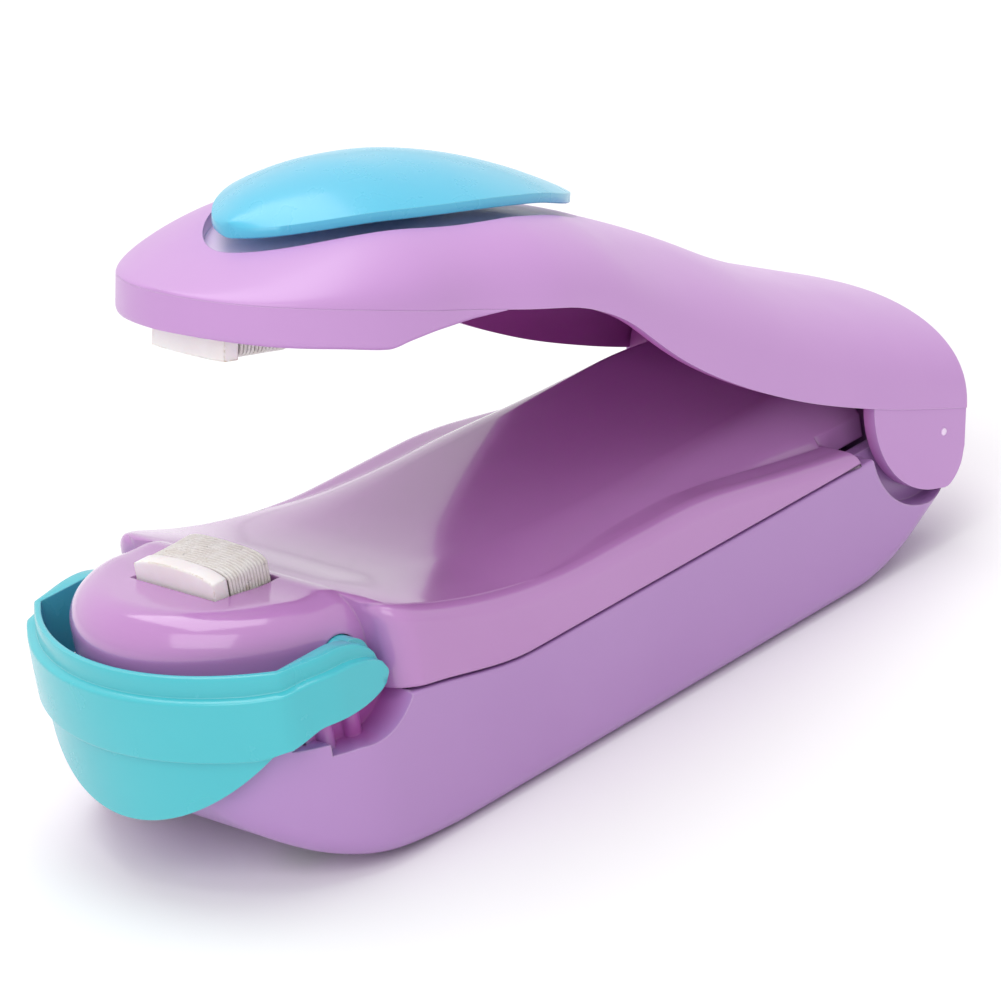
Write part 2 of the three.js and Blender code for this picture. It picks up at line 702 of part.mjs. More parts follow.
// A round coil spring along an axis, from a start point, as points with a straight end at each side.
function coil_points(start, along, across, radius, loops, pitch, steps, straight) {
  const side = along.clone().cross(across);
  const count = Math.round(loops * steps);
  const at = (i) => {
    const angle = (2 * Math.PI * i) / steps;
    return start.clone()
      .addScaledVector(along, (pitch * i) / steps)
      .addScaledVector(across, radius * Math.cos(angle))
      .addScaledVector(side, radius * Math.sin(angle));
  };
  const points = Array.from({ length: count + 1 }, (_, i) => at(i));
  const first = points[0].clone().sub(points[1]).setLength(straight).add(points[0]);
  const last = points[count].clone().sub(points[count - 1]).setLength(straight).add(points[count]);
  return [first, ...points, last];
}

const x_axis = new THREE.Vector3(1, 0, 0);
const y_axis = new THREE.Vector3(0, 1, 0);
const z_axis = new THREE.Vector3(0, 0, 1);

function contact_spring(face, inward, side) {
  const pitch = 2 * contact.wire + joint_gap * 1.5;
  const loops = (contact.spring - 2 * contact.wire) / pitch;
  const first_x = face + inward * (joint_gap + contact.wire);
  const start = new THREE.Vector3(first_x, side * (cell_spacing / 2), cell_height);
  const points = coil_points(start, x_axis.clone().multiplyScalar(inward), z_axis, contact.spring_radius,
    loops, pitch, 12, 2 * contact.wire);
  return tube(points, contact.wire, 6, x_axis);
}

function hinge_pin() {
  return rod('y', pin.radius, -pin_half, pin_half, 0, 0);
}

function return_spring() {
  const start = new THREE.Vector3(0, -(coil.loops * coil.pitch) / 2, 0);
  const steps = 12;
  const down = z_axis.clone().negate();
  const points = coil_points(start, y_axis, down, coil.radius, coil.loops + 0.5, coil.pitch, steps,
    coil.base_leg);
  const first_turn = points[1];
  points[0] = new THREE.Vector3(-coil.base_leg, first_turn.y, first_turn.z);
  const last_turn = points[points.length - 2];
  points[points.length - 1] = last_turn.clone().add(new THREE.Vector3(-coil.arm_leg, 0, 0));
  return tube(points, coil.wire, 6, y_axis);
}

// Heaters. "up" is 1 for the lower one, whose crown points up, and -1 for the upper one.

function heater_former(front, crown, up) {
  const z = (depth) => crown - up * depth;
  const rear = front + heater_length;
  const dome = dome_shares
    .map(([y_share, drop_share]) => [y_share * heater.half, z(drop_share * heater.crown)]);
  const cheek_outline = [...dome, [heater.half, z(heater.height)], [-heater.half, z(heater.height)]];
  const cheek = loft([front, front + heater.cheek]
    .map((x) => cheek_outline.map(([y, height]) => [x, y, height])));
  const core_centre = z(core_depth);
  const core_outline = oval(0, heater.core_half, heater.core_height / 2, 4, 24);
  const core = loft([front + heater.cheek / 2, rear]
    .map((x) => core_outline.map(([y, height]) => [x, y, core_centre + height])));
  const foot_z = ordered(z(heater.height), z(heater.height + heater.foot));
  const foot = box(front, rear, -heater.half, heater.half, foot_z[0], foot_z[1]);
  const stalk_z = ordered(core_centre, z(heater.height + heater.foot / 2));
  const stalk = box(rear - 2 * heater.wire, rear, -heater.core_half / 2, heater.core_half / 2,
    stalk_z[0], stalk_z[1]);
  return cheek.add(core).add(foot).add(stalk);
}

const core_clearance = joint_gap + heater.wire;
const core_depth = heater.core_height / 2 + core_clearance + heater.wire;

function winding_points(front, crown, up) {
  const steps = 24;
  const count = Math.round((heater.loops - 0.25) * steps);
  const half = heater.core_half + core_clearance;
  const rise = heater.core_height / 2 + core_clearance;
  const start = front + heater.cheek + joint_gap + heater.wire;
  const centre = crown - up * core_depth;
  const points = Array.from({ length: count + 1 }, (_, i) => {
    const angle = (2 * Math.PI * i) / steps;
    return new THREE.Vector3(
      start + (heater.pitch * i) / steps,
      half * power(Math.cos(angle), 0.5),
      centre - up * rise * power(Math.sin(angle), 0.5),
    );
  });
  const straight = 2 * heater.wire;
  const first = points[0].clone().add(new THREE.Vector3(0, 0, up * straight));
  const tail = points[count].clone().add(new THREE.Vector3(0, -straight, 0));
  return [first, ...points, tail];
}

function head_clip(front, crown, up) {
  const z = (depth) => crown - up * depth;
  const rear = front + heater_length;
  const inner = heater.half + joint_gap;
  const deep = heater.height + heater.foot + joint_gap;
  const span = (a, b) => ordered(z(a), z(b));
  const base = span(deep, deep + clip.wall);
  const flange = span(deep - clip.grip, deep + clip.wall);
  const floor = box(front, rear, -inner - clip.wall, inner + clip.wall, base[0], base[1]);
  return floor.add(sides_of((side) => {
    const y = ordered(side * inner, side * (inner + clip.wall));
    return box(front, rear, y[0], y[1], flange[0], flange[1]);
  }));
}

// The lock bail, as one strip round the nose with a lip, a band and a hanging tab.
function lock_bail() {
  const bend = Math.asin(bail_half / bail.radius);
  const stations = [];
  const end_shares = [0, 0.08, 0.25, 0.5, 0.8, 1];
  const arm_start = -bail_centre - bail.radius * Math.cos(bend);
  const arm_station = (side, x) => {
    const from_end = clamp((-bail_rear - x) / bail.end_taper, 0, 1);
    const full = Math.sqrt(1 - (1 - from_end) ** 2);
    const thick = smoothstep(x, arm_start, arm_start + bail.end_taper);
    stations.push({
      x, y: side * bail_half, nx: 0, ny: side, extra: bail.arm_extra * thick,
      top: lerp(bail.arm_end + bail.end_height, bail.top, full),
      low: lerp(bail.arm_end, lerp(bail.band_low, bail.arm_low, thick), full),
      tab: Infinity,
    });
  };
  const arc_station = (angle, mitre) => {
    const y = bail.radius * Math.sin(angle);
    const turn = mitre ? Math.sign(angle) * (bend + Math.PI / 2) / 2 : angle;
    const stretch = mitre ? 1 / Math.cos((Math.PI / 2 - bend) / 2) : 1;
    stations.push({
      x: -bail_centre - bail.radius * Math.cos(angle), y,
      nx: -Math.cos(turn) * stretch, ny: Math.sin(turn) * stretch, extra: 0,
      top: bail.top, low: bail.band_low,
      tab: bail.tab_low + bail.tab_round - Math.sqrt(bail.tab_round ** 2 - y ** 2),
    });
  };
  end_shares.forEach((share) => arm_station(-1, lerp(-bail_rear, arm_start, share * 0.95)));
  const arc_steps = 20;
  for (let i = 0; i <= arc_steps; i += 1) {
    arc_station(lerp(-bend, bend, i / arc_steps), i === 0 || i === arc_steps);
  }
  [...end_shares].reverse().forEach((share) => arm_station(1, lerp(-bail_rear, arm_start, share * 0.95)));
  const strip_body = loft(stations.map((s) => {
    const at = (offset, z) => [s.x + s.nx * offset, s.y + s.ny * offset, z];
    const lip_level = lerp(s.low, s.top, bail.lip_share);
    const lip = bail.lip + s.extra;
    const band = bail.band + s.extra;
    const tab_low = Math.min(s.tab, s.low - bail.tab_step);
    return [
      at(0, s.top), at(lip, s.top), at(lip, lip_level), at(band, lip_level - bail.tab_step), at(band, s.low),
      at(bail.tab + s.extra, s.low - bail.tab_step / 2), at(bail.tab + s.extra, tab_low), at(0, tab_low),
    ];
  }));
  const studs = sides_of((side) =>
    rod('y', bail.stud_radius, side * (bail_half - bail.stud), side * (bail_half + bail.lip),
      -pivot_reach, bail.pivot_height));
  return strip_body.add(studs);
}

// Shapes of the arm, drawn closed.

const arm_crest = profile(arm_crest_shares, arm_reach, arm_rise);
const arm_rim = profile(arm_rim_shares, arm_reach, arm_rise);
const cover_low = profile(cover_low_shares, arm_reach, arm_rise);
const pad_under = profile(pad_under_shares, arm_reach, arm_rise);
const pad_top = profile(pad_top_shares, arm_reach, arm_rise);

function arm_half(x) {
  if (x > -arm_centre) {
    return lerp(arm_nose_half, half_width, smoothstep(x, -arm_centre, -arm_neck));
  }
  const forward = clamp((-arm_centre - x) / (arm_reach - arm_centre), 0, 1);
  return arm_nose_half * (1 - forward ** 2) ** 0.5;
}

function arm_fullness(x) {
  const middle = smoothstep(-x, arm_reach * fullness_shares[0], arm_reach * fullness_shares[1]);
  const nose = smoothstep(-x, arm_reach * fullness_shares[2], arm_reach);
  return arm.fullness + arm.fullness_middle * middle + arm.fullness_nose * nose;
}

function arm_ring(x, inset, drop) {
  const half = arm_half(x) - inset;
  const rim = arm_rim(x);
  const crest = arm_crest(x) - inset;
  const exponent = 2 / arm_fullness(x);
  const steps = 14;
  const ring = [];
  for (let i = 0; i <= steps; i += 1) {
    const angle = (Math.PI * i) / steps;
    const height = i === steps ? 0 : Math.sin(angle) ** exponent;
    ring.push([x, half * power(Math.cos(angle), exponent), lerp(rim, crest, height)]);
  }
  if (drop > 0) ring.push([x, -half, rim - drop], [x, half, rim - drop]);
  return ring;
}

function inside_arm(inset, drop) {
  const front = -(arm_reach - inset);
  const stations = arm_station_shares.map((share) => -share * arm_reach)
    .filter((x) => x > front && arm_half(x) > 1.5 * inset);
  stations.push(tail_reach - inset);
  return loft(stations.map((x) => arm_ring(x, inset, drop)));
}

const oval_steps = 40;
const recess_oval = (grow) =>
  oval(-recess_middle, recess.length + grow, recess.half + grow, recess.fullness, oval_steps);
const recess_floor = (x) => pad_under(x) - pad.float;
const recess_span = recess.length + 2 * wall;
const floor_steps = 11;
const recess_stations = Array.from({ length: floor_steps + 1 }, (_, i) =>
  lerp(-recess_middle - recess_span, -recess_middle + recess_span, i / floor_steps));

function above_floor(lowered) {
  return strip(recess_stations, body_width, (x) => recess_floor(x) - lowered, () => above_arm);
}

function arm_top_shell() {
  const stations = arm_station_shares.map((share) => -share * arm_reach);
  const rings = stations.map((x) => arm_ring(x, 0, 0));
  rings.push(arm_ring(tail_reach - arm.tail_round, 0, 0));
  const tail = arm_ring(tail_reach - arm.tail_round, arm.tail_round, 0);
  rings.push(tail.map(([, y, z]) => [tail_reach, y, z]));
  const outer = loft(rings);
  const backing = prism_z(recess_oval(wall), 0, above_arm).intersect(above_floor(wall));
  const hollow = inside_arm(wall, overrun).subtract(backing);
  let body = outer.subtract(hollow);

  const cover_bosses = sides_of((side) =>
    rod('z', screw.boss_radius, cover_floor(-cover_screw.reach) + joint_gap,
      arm_crest(-cover_screw.reach) - 2 * wall, -cover_screw.reach, side * cover_screw.side));
  const yoke_bosses = sides_of((side) =>
    rod('z', screw.boss_radius, yoke.web_low + yoke.web + joint_gap,
      arm_crest(-yoke_screw.reach) - 2 * wall, -yoke_screw.reach, side * yoke_screw.side));
  body = body.add(cover_bosses.add(yoke_bosses).intersect(outer));

  const cover_bores = sides_of((side) =>
    screw_bore(screw.radius + running_gap, 0, cover_screw.top + joint_gap, cover_screw, side));
  const yoke_bores = sides_of((side) =>
    screw_bore(screw.radius + running_gap, 0, yoke_screw.top + joint_gap, yoke_screw, side));
  const cut = prism_z(recess_oval(0), 0, above_arm).intersect(above_floor(0));
  const stem_hole = bore('z', stem.radius + joint_gap, 0, above_arm, -stem_reach, 0);
  return body.subtract(cut).subtract(stem_hole).subtract(cover_bores).subtract(yoke_bores);
}

const cover_floor = (x) => cover_low(x) + wall;
const cover_top = (x) => arm_rim(x) - joint_gap;

function cover_ring(x, inset, low, top) {
  const half = arm_half(x) - inset;
  const bevel = Math.min(arm.cover_bevel, half / 2, (top - low) / 2);
  return [
    [x, half, top], [x, half, low + bevel], [x, half - bevel, low],
    [x, -half + bevel, low], [x, -half, low + bevel], [x, -half, top],
  ];
}

function arm_nose_cover() {
  const stations = arm_station_shares.map((share) => -share * arm_reach).filter((x) => x < -cover_rear);
  stations.push(-cover_rear);
  const outer = loft(stations.map((x) => cover_ring(x, 0, cover_low(x), cover_top(x))));
  const inner_stations = stations.filter((x) => x < -cavity_rear && arm_half(x) > 2 * wall);
  inner_stations.push(-cavity_rear);
  const inner = loft(inner_stations.map((x) => cover_ring(x, wall, cover_floor(x), cover_top(x) + overrun)));
  const window = box(-upper_front - joint_gap, -upper_front + heater_length + joint_gap,
    -heater.half - joint_gap, heater.half + joint_gap, 0, arm_rise);
  const holes = sides_of((side) =>
    screw_bore(screw.radius + running_gap, 0, arm_rise, cover_screw, side)
      .add(screw_bore(screw.head_radius + joint_gap, 0, cover_screw_low + screw.head, cover_screw, side)));
  return outer.subtract(inner).subtract(window).subtract(holes);
}

const cover_screw_low = cover_low(-cover_screw.reach) - screw.sink;

function hinge_yoke() {
  const arc = [];
  for (let i = 0; i <= 12; i += 1) {
    const angle = lerp(Math.PI, 1.5 * Math.PI, i / 12);
    arc.push([ear.centre_x + ear.radius * Math.cos(angle), ear.centre_z + ear.radius * Math.sin(angle)]);
  }
  const tip = ear_tip_shares
    .map(([reach_share, depth_share]) => [ear.rear * reach_share, -ear.tip * depth_share]);
  const outline = [...arc, ...tip, [ear.rear, arm_rise / 2], [-ear.radius + ear.centre_x, arm_rise / 2]];
  const rim_steps = 7;
  const rim_stations = Array.from({ length: rim_steps + 1 }, (_, i) =>
    lerp(-ear.radius - wall, tail_reach + wall, i / rim_steps));
  const below_rim = strip(rim_stations, body_width, () => -arm_rise, (x) => arm_rim(x) - joint_gap);
  const inside = inside_arm(wall + joint_gap, overrun);
  const ears = sides_of((side) => {
    const y = ordered(side * ear_inner, side * ear_outer);
    return plate_y(outline, y[0], y[1]).intersect(below_rim);
  });
  const necks = sides_of((side) => {
    const y = ordered(side * ear_inner, side * half_width);
    return plate_y(outline, y[0], y[1]).intersect(inside);
  });
  const tongues = sides_of((side) => {
    const y = ordered(side * tongue_inner, side * half_width);
    return box(-yoke.tongue_front, tail_reach, y[0], y[1], yoke.tongue_low, yoke.web_low + yoke.web);
  });
  const web = box(-yoke.web_front, tail_reach, -half_width, half_width,
    yoke.web_low, yoke.web_low + yoke.web);
  const body = ears.add(necks).add(tongues.add(web).intersect(inside));
  const pin_holes = bore('y', pin.radius + running_gap, -pin_half - running_gap,
    pin_half + running_gap, 0, 0);
  const screw_holes = sides_of((side) =>
    screw_bore(screw.radius + running_gap, 0, arm_rise, yoke_screw, side));
  return body.subtract(pin_holes).subtract(screw_holes);
}

function thumb_pad() {
  const exponent = 2 / pad.fullness;
  const steps = 18;
  const rings = [];
  for (let i = 1; i < steps; i += 1) {
    const angle = Math.PI * (1 - i / steps);
    const x = -pad_middle + pad.length * power(Math.cos(angle), exponent);
    const half = pad.half * Math.sin(angle) ** exponent;
    const low = pad_under(x);
    const edge = low + pad.edge;
    const ring = [[x, half - Math.min(pad.bevel, half / 3), low]];
    const arch_steps = 12;
    for (let k = 0; k <= arch_steps; k += 1) {
      const turn = (Math.PI * k) / arch_steps;
      const across = Math.cos(turn);
      const height = k === arch_steps ? 0 : 1 - across ** 2;
      ring.push([x, half * across, lerp(edge, Math.max(pad_top(x), edge + pad.bevel), height)]);
    }
    ring.push([x, -half + Math.min(pad.bevel, half / 3), low]);
    rings.push(ring);
  }
  const pocket = rod('z', stem.pocket_radius, 0, pocket_ceiling, -stem_reach, 0);
  const stem_rod = rod('z', stem.radius, stem_tip, pocket_ceiling + wall / 2, -stem_reach, 0);
  return loft(rings).subtract(pocket).add(stem_rod);
}

const pocket_ceiling = pad_under(-stem_reach) + stem.pocket;

function pad_spring() {
  const low = recess_floor(-stem_reach) + joint_gap + stem.wire;
  const high = pocket_ceiling - joint_gap - stem.wire;
  const pitch = 2 * stem.wire + 1.5 * joint_gap;
  const start = new THREE.Vector3(-stem_reach, 0, low);
  const points = coil_points(start, z_axis, x_axis, stem.spring_radius, (high - low) / pitch, pitch, 12,
    2 * stem.wire);
  return tube(points, stem.wire, 6, z_axis);
}

const block_low = Math.max(cover_floor(-block_front), cover_floor(-block_front + block.length)) + joint_gap;
const stem_tip = block_low + leaf.high + leaf.thick + pad.travel + joint_gap;

function switch_block() {
  const body = box(-block_front, -block_front + block.length, -block.half, block.half, block_low,
    block_low + block.height);
  const slots = [leaf.low, leaf.high].map((height) =>
    box(-block_front + block.length - leaf.slot, -block_front + block.length + overrun,
      -leaf.half - joint_gap, leaf.half + joint_gap,
      block_low + height - joint_gap / 2, block_low + height + leaf.thick + joint_gap / 2));
  return body.subtract(slots[0]).subtract(slots[1]);
}

function switch_leaf(height) {
  const start = -block_front + block.length - leaf.slot + joint_gap;
  const low = block_low + height;
  return box(start, start + leaf.length, -leaf.half, leaf.half, low, low + leaf.thick);
}

// Points of a lead near the nose, each given by its setback from a nose tip at the given reach.
const from_nose = (reach, points) => points.map(([setback, y, z]) => [setback - reach, y, z]);

// A lead wire along points chosen by hand.
function lead_wire(route) {
  const path = new THREE.CatmullRomCurve3(route.map((p) => new THREE.Vector3(...p)), false, 'centripetal');
  const section = new THREE.Shape(Array.from({ length: lead.sides }, (_, i) => {
    const angle = (2 * Math.PI * i) / lead.sides;
    return new THREE.Vector2(lead.radius * Math.cos(angle), lead.radius * Math.sin(angle));
  }));
  const wanted = Math.round(path.getLength() / (lead.step * lead.radius));
  const steps = clamp(wanted, lead.least_steps, lead.most_steps);
  return solid(new THREE.ExtrudeGeometry(section, { steps, extrudePath: path, bevelEnabled: false }));
}

const routes = {
  lead_negative: [
    [-9.7, 12.1, 0.2], [-9.8, 13.4, 0.6], [-11.2, 14.9, 1.3], [-18, 15.2, 1.9], [-40, 15.3, 1.9],
    ...from_nose(base_reach, [
      [23.4, 15.2, 2.2], [19.8, 14.6, 4.6], [17.6, 12.9, 6.0], [15.8, 11.0, 6.6], [14.5, 8.6, 8.0],
      [14.8, 6.4, 10.0],
    ]),
  ],
  lead_positive: [
    [-9.1, -4.6, 3.4], [-7.4, -4.6, 3.8], [-4.6, -4.6, 4.0], [-2.2, -4.6, 3.8], [-0.9, -4.6, 4.0],
  ],
  lead_return: [
    ...from_nose(base_reach, [
      [14.8, -6.4, 10.0], [14.5, -8.6, 8.0], [15.8, -11.0, 6.6], [17.6, -12.9, 6.0], [19.8, -14.6, 4.6],
      [23.4, -15.2, 2.2],
    ]),
    [-40, -15.3, 1.9], [-18, -15.2, 1.9], [-12.6, -15.1, 1.5], [-10.9, -14.9, 1.4], [-9.8, -13.9, 1.3],
    [-8.6, -13.2, 1.3], [-6.6, -11.8, 2.2], [-5.0, -8.6, 3.6], [-2.6, -7.0, 3.9], [-0.9, -6.8, 4.0],
  ],
  lead_switch: [
    [-1.5, -4.6, 4.8], [-2.3, -4.5, 5.6], [-4.0, -4.0, 8.0], [-12, -4.0, 12.0], [-24, -4.0, 16.4],
    [-36, -4.4, 19.2],
    ...from_nose(arm_reach, [[26.8, -4.9, 19.9], [19.8, -5.2, 20.2], [16.4, -4.9, 20.4]]),
  ],
  lead_head: from_nose(arm_reach, [
    [11.9, 2.6, 20.1], [11.2, 3.6, 20.1], [10.7, 5.2, 19.8], [10.6, 6.2, 19.0],
  ]),
  lead_back: [
    ...from_nose(arm_reach, [[10.6, -6.2, 19.0], [10.8, -7.0, 20.0], [14.8, -7.2, 20.6], [22.8, -7.2, 20.2]]),
    [-40, -7.0, 19.2], [-28, -6.9, 16.8], [-14, -6.8, 12.2], [-4.0, -6.8, 8.0], [-2.3, -6.8, 5.6],
    [-1.5, -6.8, 4.8],
  ],
};

// Assembly.

const sealer = new THREE.Group();
const arm_group = new THREE.Group();
arm_group.rotation.y = degToRad(opening_angle);
sealer.add(arm_group);

sealer.add(
  piece('lower_housing', lower_housing(), lilac),
  piece('deck_shell', deck_shell(), lilac),
  piece('battery_door', battery_door(), lilac),
  piece('aa_cell_near', aa_cell(-1, 1), cell_jacket),
  piece('aa_cell_far', aa_cell(1, -1), cell_jacket),
  piece('bridge_plate', contact_plate(bridge_face, -1, -cell_spacing / 2 - contact.half_width,
    cell_spacing / 2 + contact.half_width), nickel),
  piece('bridge_spring', contact_spring(bridge_face, 1, -1), nickel),
  piece('terminal_plate_positive', contact_plate(terminal_face, 1, -cell_spacing / 2 - contact.half_width,
    -cell_spacing / 2 + contact.half_width), nickel),
  piece('terminal_plate_negative', contact_plate(terminal_face, 1, cell_spacing / 2 - contact.half_width,
    cell_spacing / 2 + contact.half_width), nickel),
  piece('terminal_spring', contact_spring(terminal_face, -1, 1), nickel),
  piece('hinge_pin', hinge_pin(), steel),
  piece('return_spring', return_spring(), steel),
  piece('lower_former', heater_former(-lower_front, lower_head.crown, 1), ceramic),
  piece('lower_head_clip', head_clip(-lower_front, lower_head.crown, 1), steel),
  piece('lock_bail', lock_bail(), teal),
);

const lower_winding = winding_points(-lower_front, lower_head.crown, 1);
const upper_winding = winding_points(-upper_front, upper_head.crown, -1);
sealer.add(piece('lower_winding', tube(lower_winding, heater.wire, 6, x_axis), fibre));
arm_group.add(piece('upper_winding', tube(upper_winding, heater.wire, 6, x_axis), fibre));
console.log('least gap between winding loops, mm:', least_gap(lower_winding, heater.wire, 24).toFixed(3));

arm_group.add(
  piece('arm_top_shell', arm_top_shell(), lilac_light),
  piece('arm_nose_cover', arm_nose_cover(), lilac_light),
  piece('hinge_yoke', hinge_yoke(), lilac_light),
  piece('upper_former', heater_former(-upper_front, upper_head.crown, -1), ceramic),
  piece('upper_head_clip', head_clip(-upper_front, upper_head.crown, -1), steel),
  piece('switch_block', switch_block(), phenolic),
  piece('switch_leaf_top', switch_leaf(leaf.high), nickel),
  piece('switch_leaf_bottom', switch_leaf(leaf.low), nickel),
  piece('thumb_pad', thumb_pad(), sky_blue),
  piece('pad_spring', pad_spring(), steel),
);

[['near', -1], ['far', 1]].forEach(([label, side]) => {
  sealer.add(piece(`screw_front_${label}`, screw_body(front_screw.reach, side * front_screw.side,
    screw_seat - screw.head - running_gap, front_screw.top), steel));
  arm_group.add(piece(`screw_arm_${label}`, screw_body(cover_screw.reach, side * cover_screw.side,
    cover_screw_low - running_gap, cover_screw.top), steel));
  arm_group.add(piece(`screw_yoke_${label}`, screw_body(yoke_screw.reach, side * yoke_screw.side,
    yoke.web_low - screw.head - joint_gap, yoke_screw.top), steel));
});

Object.entries(routes).forEach(([name, route]) => {
  const on_arm = ['lead_switch', 'lead_head', 'lead_back'].includes(name);
  const finish = ['lead_positive', 'lead_switch', 'lead_head'].includes(name) ? red_sleeve : black_sleeve;
  (on_arm ? arm_group : sealer).add(piece(name, lead_wire(route), finish));
});

// The origin is the middle of the box round the part, on its underside.
sealer.updateMatrixWorld(true);
const bounds = new THREE.Box3().setFromObject(sealer, true);
sealer.position.set(
  -(bounds.min.x + bounds.max.x) / 2,
  -(bounds.min.y + bounds.max.y) / 2,
  -bounds.min.z,
);
sealer.updateMatrixWorld(true);

export default sealer;
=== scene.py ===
"""Looks of a mini bag sealer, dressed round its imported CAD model.

Shapes are worked out in millimetres, with the hinge pin through x = 0, z = 0, the nose towards -X and +Z up.
Arm pieces are drawn with the arm closed and are turned open when they are placed. Every piece is then moved
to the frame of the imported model, in metres.
"""

from __future__ import annotations

import json
import logging
import math
from abc import ABC, abstractmethod
from collections.abc import Callable, Iterable, Sequence
from dataclasses import dataclass
from enum import Enum

import bpy
import numpy as np
from mathutils import Matrix, Vector

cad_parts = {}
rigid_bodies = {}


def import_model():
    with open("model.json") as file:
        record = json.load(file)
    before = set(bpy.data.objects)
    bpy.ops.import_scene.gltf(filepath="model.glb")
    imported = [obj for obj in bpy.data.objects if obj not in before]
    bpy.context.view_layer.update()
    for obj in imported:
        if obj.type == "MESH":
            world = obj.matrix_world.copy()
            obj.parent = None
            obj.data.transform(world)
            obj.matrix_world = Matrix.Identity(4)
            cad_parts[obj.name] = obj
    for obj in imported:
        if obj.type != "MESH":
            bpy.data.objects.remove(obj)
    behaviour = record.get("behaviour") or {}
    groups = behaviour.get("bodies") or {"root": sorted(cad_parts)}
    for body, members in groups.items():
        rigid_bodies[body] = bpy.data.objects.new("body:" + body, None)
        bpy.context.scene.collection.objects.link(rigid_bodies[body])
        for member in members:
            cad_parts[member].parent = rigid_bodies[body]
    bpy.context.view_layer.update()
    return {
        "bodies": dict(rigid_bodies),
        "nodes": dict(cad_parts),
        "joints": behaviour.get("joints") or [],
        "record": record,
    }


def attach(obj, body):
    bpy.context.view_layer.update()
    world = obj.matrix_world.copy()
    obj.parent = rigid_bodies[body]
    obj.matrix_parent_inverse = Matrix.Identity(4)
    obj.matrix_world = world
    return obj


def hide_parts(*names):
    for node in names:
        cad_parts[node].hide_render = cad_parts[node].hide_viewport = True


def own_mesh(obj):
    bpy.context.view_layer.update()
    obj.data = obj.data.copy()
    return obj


LOG = logging.getLogger("sealer")
Array = np.ndarray
Shares = tuple[tuple[float, float], ...]

MILLIMETRE = 0.001

# Lengths in millimetres: the gap between joined pieces, the wall, how far a tool runs past a skin, and a
# distance that clears every piece.
JOINT_GAP = 0.3
WALL = 1.2
OVERRUN = 6.0
BEYOND = 30.0

# Half the part's width, how many degrees the arm stands open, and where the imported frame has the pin.
HALF_WIDTH = 17.5
OPENING_ANGLE = 14.1
HINGE_IN_ROW = (37.47027, 0.0, 9.2)

# Radii round the screws and the hinge pin.
SCREW_BORE = 1.07
SCREW_HEAD = 2.3
SCREW_BOSS = 2.2
PIN_BORE = 1.28

# Where x, y and z of a ring drawn along X go when its body runs along another axis.
AXIS_ORDER = {"x": [0, 1, 2], "y": [1, 0, 2], "z": [1, 2, 0]}
# Weights of a short average.
WINDOW = np.array([1.0, 2.0, 3.0, 2.0, 1.0])


class Cutting(Enum):
    """How one solid acts on another."""

    CUT = "DIFFERENCE"
    JOIN = "UNION"
    LIMIT = "INTERSECT"


class Carrier(Enum):
    """The moving body that a piece rides on."""

    BASE = "base"
    ARM = "arm"
    PAD = "pad"
    BAIL = "bail"

    @property
    def opened(self) -> bool:
        """Tells whether pieces of this body are drawn closed and placed open."""
        return self in (Carrier.ARM, Carrier.PAD)


# Curves and grids.


def lerp(start: Array | float, stop: Array | float, share: Array | float) -> Array | float:
    """Goes from start to stop in proportion to share."""
    return start + (stop - start) * share


def smoothstep(value: Array | float, low: float, high: float) -> Array:
    """Rises from 0 at low to 1 at high along 3 t squared minus 2 t cubed."""
    t = np.clip((np.asarray(value, float) - low) / (high - low), 0.0, 1.0)
    return t * t * (3.0 - 2.0 * t)


def power(value: Array, exponent: Array | float) -> Array:
    """Raises the size of a value to an exponent and keeps its sign."""
    return np.sign(value) * np.abs(value) ** exponent


def place_matrix(carrier: Carrier) -> Matrix:
    """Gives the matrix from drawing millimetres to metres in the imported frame.

    Args:
        carrier: the body the piece rides on; arm bodies are turned open first.

    Returns:
        The 4 by 4 matrix.
    """
    turn = Matrix.Rotation(math.radians(OPENING_ANGLE), 4, "Y") if carrier.opened else Matrix.Identity(4)
    return Matrix.Scale(MILLIMETRE, 4) @ Matrix.Translation(Vector(HINGE_IN_ROW)) @ turn


@dataclass(frozen=True)
class Outline:
    """A smooth height curve through measured places, given as shares of a reach and a rise."""

    shares: Shares
    reach: float
    rise: float
    soften: float = 1.0

    def _raw(self, x: Array) -> Array:
        """Reads a cubic curve whose slopes are harmonic means, so that it never overshoots.

        Args:
            x: places between the first and the last share.

        Returns:
            The heights.
        """
        table = np.asarray(self.shares, float)
        xs, zs = -table[:, 0] * self.reach, table[:, 1] * self.rise
        secants = np.diff(zs) / np.diff(xs)
        before, after = secants[:-1], secants[1:]
        same = before * after > 0
        inner = np.where(same, 2 * before * after / np.where(same, before + after, 1.0), 0.0)
        slopes = np.concatenate([secants[:1], inner, secants[-1:]])
        i = np.clip(np.searchsorted(xs, x, side="left") - 1, 0, len(secants) - 1)
        span = xs[i + 1] - xs[i]
        t = np.clip((x - xs[i]) / span, 0.0, 1.0)
        bend = span * t * (1 - t) * ((1 - t) * slopes[i] - t * slopes[i + 1])
        return zs[i] + (zs[i + 1] - zs[i]) * (3 - 2 * t) * t * t + bend

    def __call__(self, x: Array | float) -> Array:
        """Reads the height at x, averaged over a short window that closes at the curve's ends.

        Args:
            x: places along X.

        Returns:
            The heights.
        """
        x = np.asarray(x, float)
        first, last = -self.shares[0][0] * self.reach, -self.shares[-1][0] * self.reach
        room = np.clip(np.minimum(x - first, last - x), 0.0, self.soften)
        offsets = np.linspace(-1.0, 1.0, len(WINDOW))
        heights = np.stack([self._raw(x + offset * room) for offset in offsets], axis=-1)
        return heights @ (WINDOW / WINDOW.sum())


def stations(front: float, rear: float, count: int, ease: float = 0.0) -> Array:
    """Spreads places from front to rear; ease draws them together at the front along a sine."""
    t = np.linspace(0.0, 1.0, count)
    return lerp(front, rear, (1 - ease) * t + ease * (1 - np.cos(t * np.pi / 2)))


